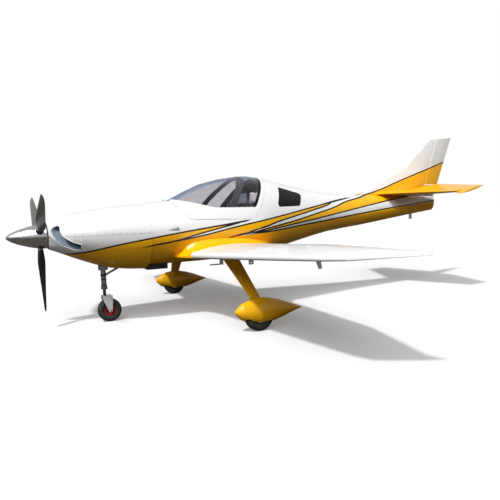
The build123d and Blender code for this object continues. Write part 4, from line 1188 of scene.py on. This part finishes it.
def dials():
    """Round instruments with raised bezels, marks and needles."""
    form, needles = bmesh.new(), bmesh.new()
    marks = []
    for (y, z, radius), angle in zip(DIALS, NEEDLES):
        middle = at(PANEL_FACE, y, z)
        face = (DIAL_FACE, radius - 1)
        bezel = [(-2, radius + 5), (7, radius + 5), (9, radius + 3), (9, radius), face]
        lathe(form, bezel, middle, AFT)
        lathe(form, [face, (DIAL_FACE, 0)], middle, AFT, coat=1)
        for way in spokes(MARKS):
            marks.append((middle + way * (radius - MARK_IN) * MM + AFT * MARK_RISE * MM, AFT))
        way = spokes(1, angle)[0]
        pin = middle + AFT * NEEDLE_RISE * MM
        ends = [pin - way * NEEDLE_TAIL * MM, pin + way * (radius - NEEDLE_IN) * MM]
        ribbon(needles, ends, AFT.cross(way), 2.2, 1)
    riding(formed("dial_bezels", form, PANEL_COAT, BLACK_COAT_AND_PAINTED_SHADE), "airframe")
    riding(formed("dial_needles", needles, DIAL_MARK), "airframe")
    look = {"radius": 1.2, "height": 0.7, "taper": 1.0, "sides": 8}
    fasteners("dial_marks", "airframe", "panel", marks, DIAL_MARK, **look)


dials()


# Stage
FLOOR_SIZE = 60.0
FLOOR_SEEN = (0.66, 0.66, 0.66, 1)
FLOOR_BOUNCE = (0.10, 0.09, 0.075, 1)
FLOOR_GLOW = 0.2
SKY_LIGHT = 0.16
SKY_MIRRORED = 0.55
# Way, energy and spread in degrees
SUNS = {"key_sun": ((0.585, 0.37, -1.0), 2.75, 4.0), "fill_sun": ((0.45, 0.6, -0.75), 1.8, 50.0)}


def sight(tree):
    """Whether a ray is from the camera, straight or through glass, and the node that tells rays apart."""
    path = shade(tree, "LightPath")
    return calc(tree, "MAXIMUM", path.outputs["Is Camera Ray"], path.outputs["Is Transmission Ray"]), path


def stage_floor():
    """Pale floor that keeps the shadow and runs white into the distance."""
    form = bmesh.new()
    bmesh.ops.create_grid(form, x_segments=2, y_segments=2, size=FLOOR_SIZE)
    mesh = bpy.data.meshes.new("floor")
    form.to_mesh(mesh)
    form.free()
    made, tree, shader, place = material("floor_white")
    seen = sight(tree)[0]
    tone = blend(tree, seen, FLOOR_BOUNCE, FLOOR_SEEN)
    give(tree, shader, {"Base Color": tone, "Roughness": 0.9, "Specular IOR Level": 0.0})
    glow = shade(tree, "Emission", PURE, calc(tree, "MULTIPLY", seen, FLOOR_GLOW))
    both = shade(tree, "AddShader", shader.outputs[0], glow.outputs[0])
    give(tree, tree.nodes["Material Output"], {"Surface": both.outputs[0]})
    piece_of("floor", mesh, made)


def sun(name, way, energy, spread):
    """A sun that shines one way."""
    lamp = bpy.data.lights.new(name, "SUN")
    lamp.energy = energy
    lamp.angle = radians(spread)
    placed(name, lamp).rotation_euler = Vector(way).to_track_quat("-Z", "Y").to_euler()


def studio_sky():
    """Even pale sky, white where it is seen."""
    world = bpy.data.worlds.new("studio_sky")
    world.use_nodes = True
    tree = world.node_tree
    seen, path = sight(tree)
    glossy = calc(tree, "MULTIPLY", path.outputs["Is Glossy Ray"], SKY_MIRRORED)
    strength = calc(tree, "MAXIMUM", calc(tree, "MAXIMUM", seen, glossy), SKY_LIGHT)
    give(tree, tree.nodes["Background"], {"Color": PURE, "Strength": strength})
    bpy.context.scene.world = world


CAMERA_PLACE = (-3.8185, -6.629, 1.475)
CAMERA_AXES = ((0.8959, -0.4434, -0.0293), (0.0919, 0.1203, 0.9885), (-0.4347, -0.8882, 0.1485))
PHOTO_SIZE = 500.0
FOCAL = 511.324
AXIS_POINT = (239.56, 279.85)
SENSOR = 36.0
CAMERA_REACH = 300.0


def photo_camera():
    """The camera at the photograph's place and angle."""
    lens = bpy.data.cameras.new("photo_camera")
    lens.sensor_width = SENSOR
    lens.lens = SENSOR * FOCAL / PHOTO_SIZE
    lens.shift_x = (PHOTO_SIZE / 2 - AXIS_POINT[0]) / PHOTO_SIZE
    lens.shift_y = (AXIS_POINT[1] - PHOTO_SIZE / 2) / PHOTO_SIZE
    lens.clip_end = CAMERA_REACH
    made = placed("photo_camera", lens)
    axes = [Vector(axis).normalized() for axis in CAMERA_AXES]
    turn = Matrix([[axis[row] for axis in axes] for row in range(3)]).to_4x4()
    made.matrix_world = Matrix.Translation(CAMERA_PLACE) @ turn
    bpy.context.scene.camera = made


stage_floor()
for name, row in SUNS.items():
    sun(name, *row)
studio_sky()
photo_camera()
bpy.context.scene.view_settings.view_transform = "Standard"
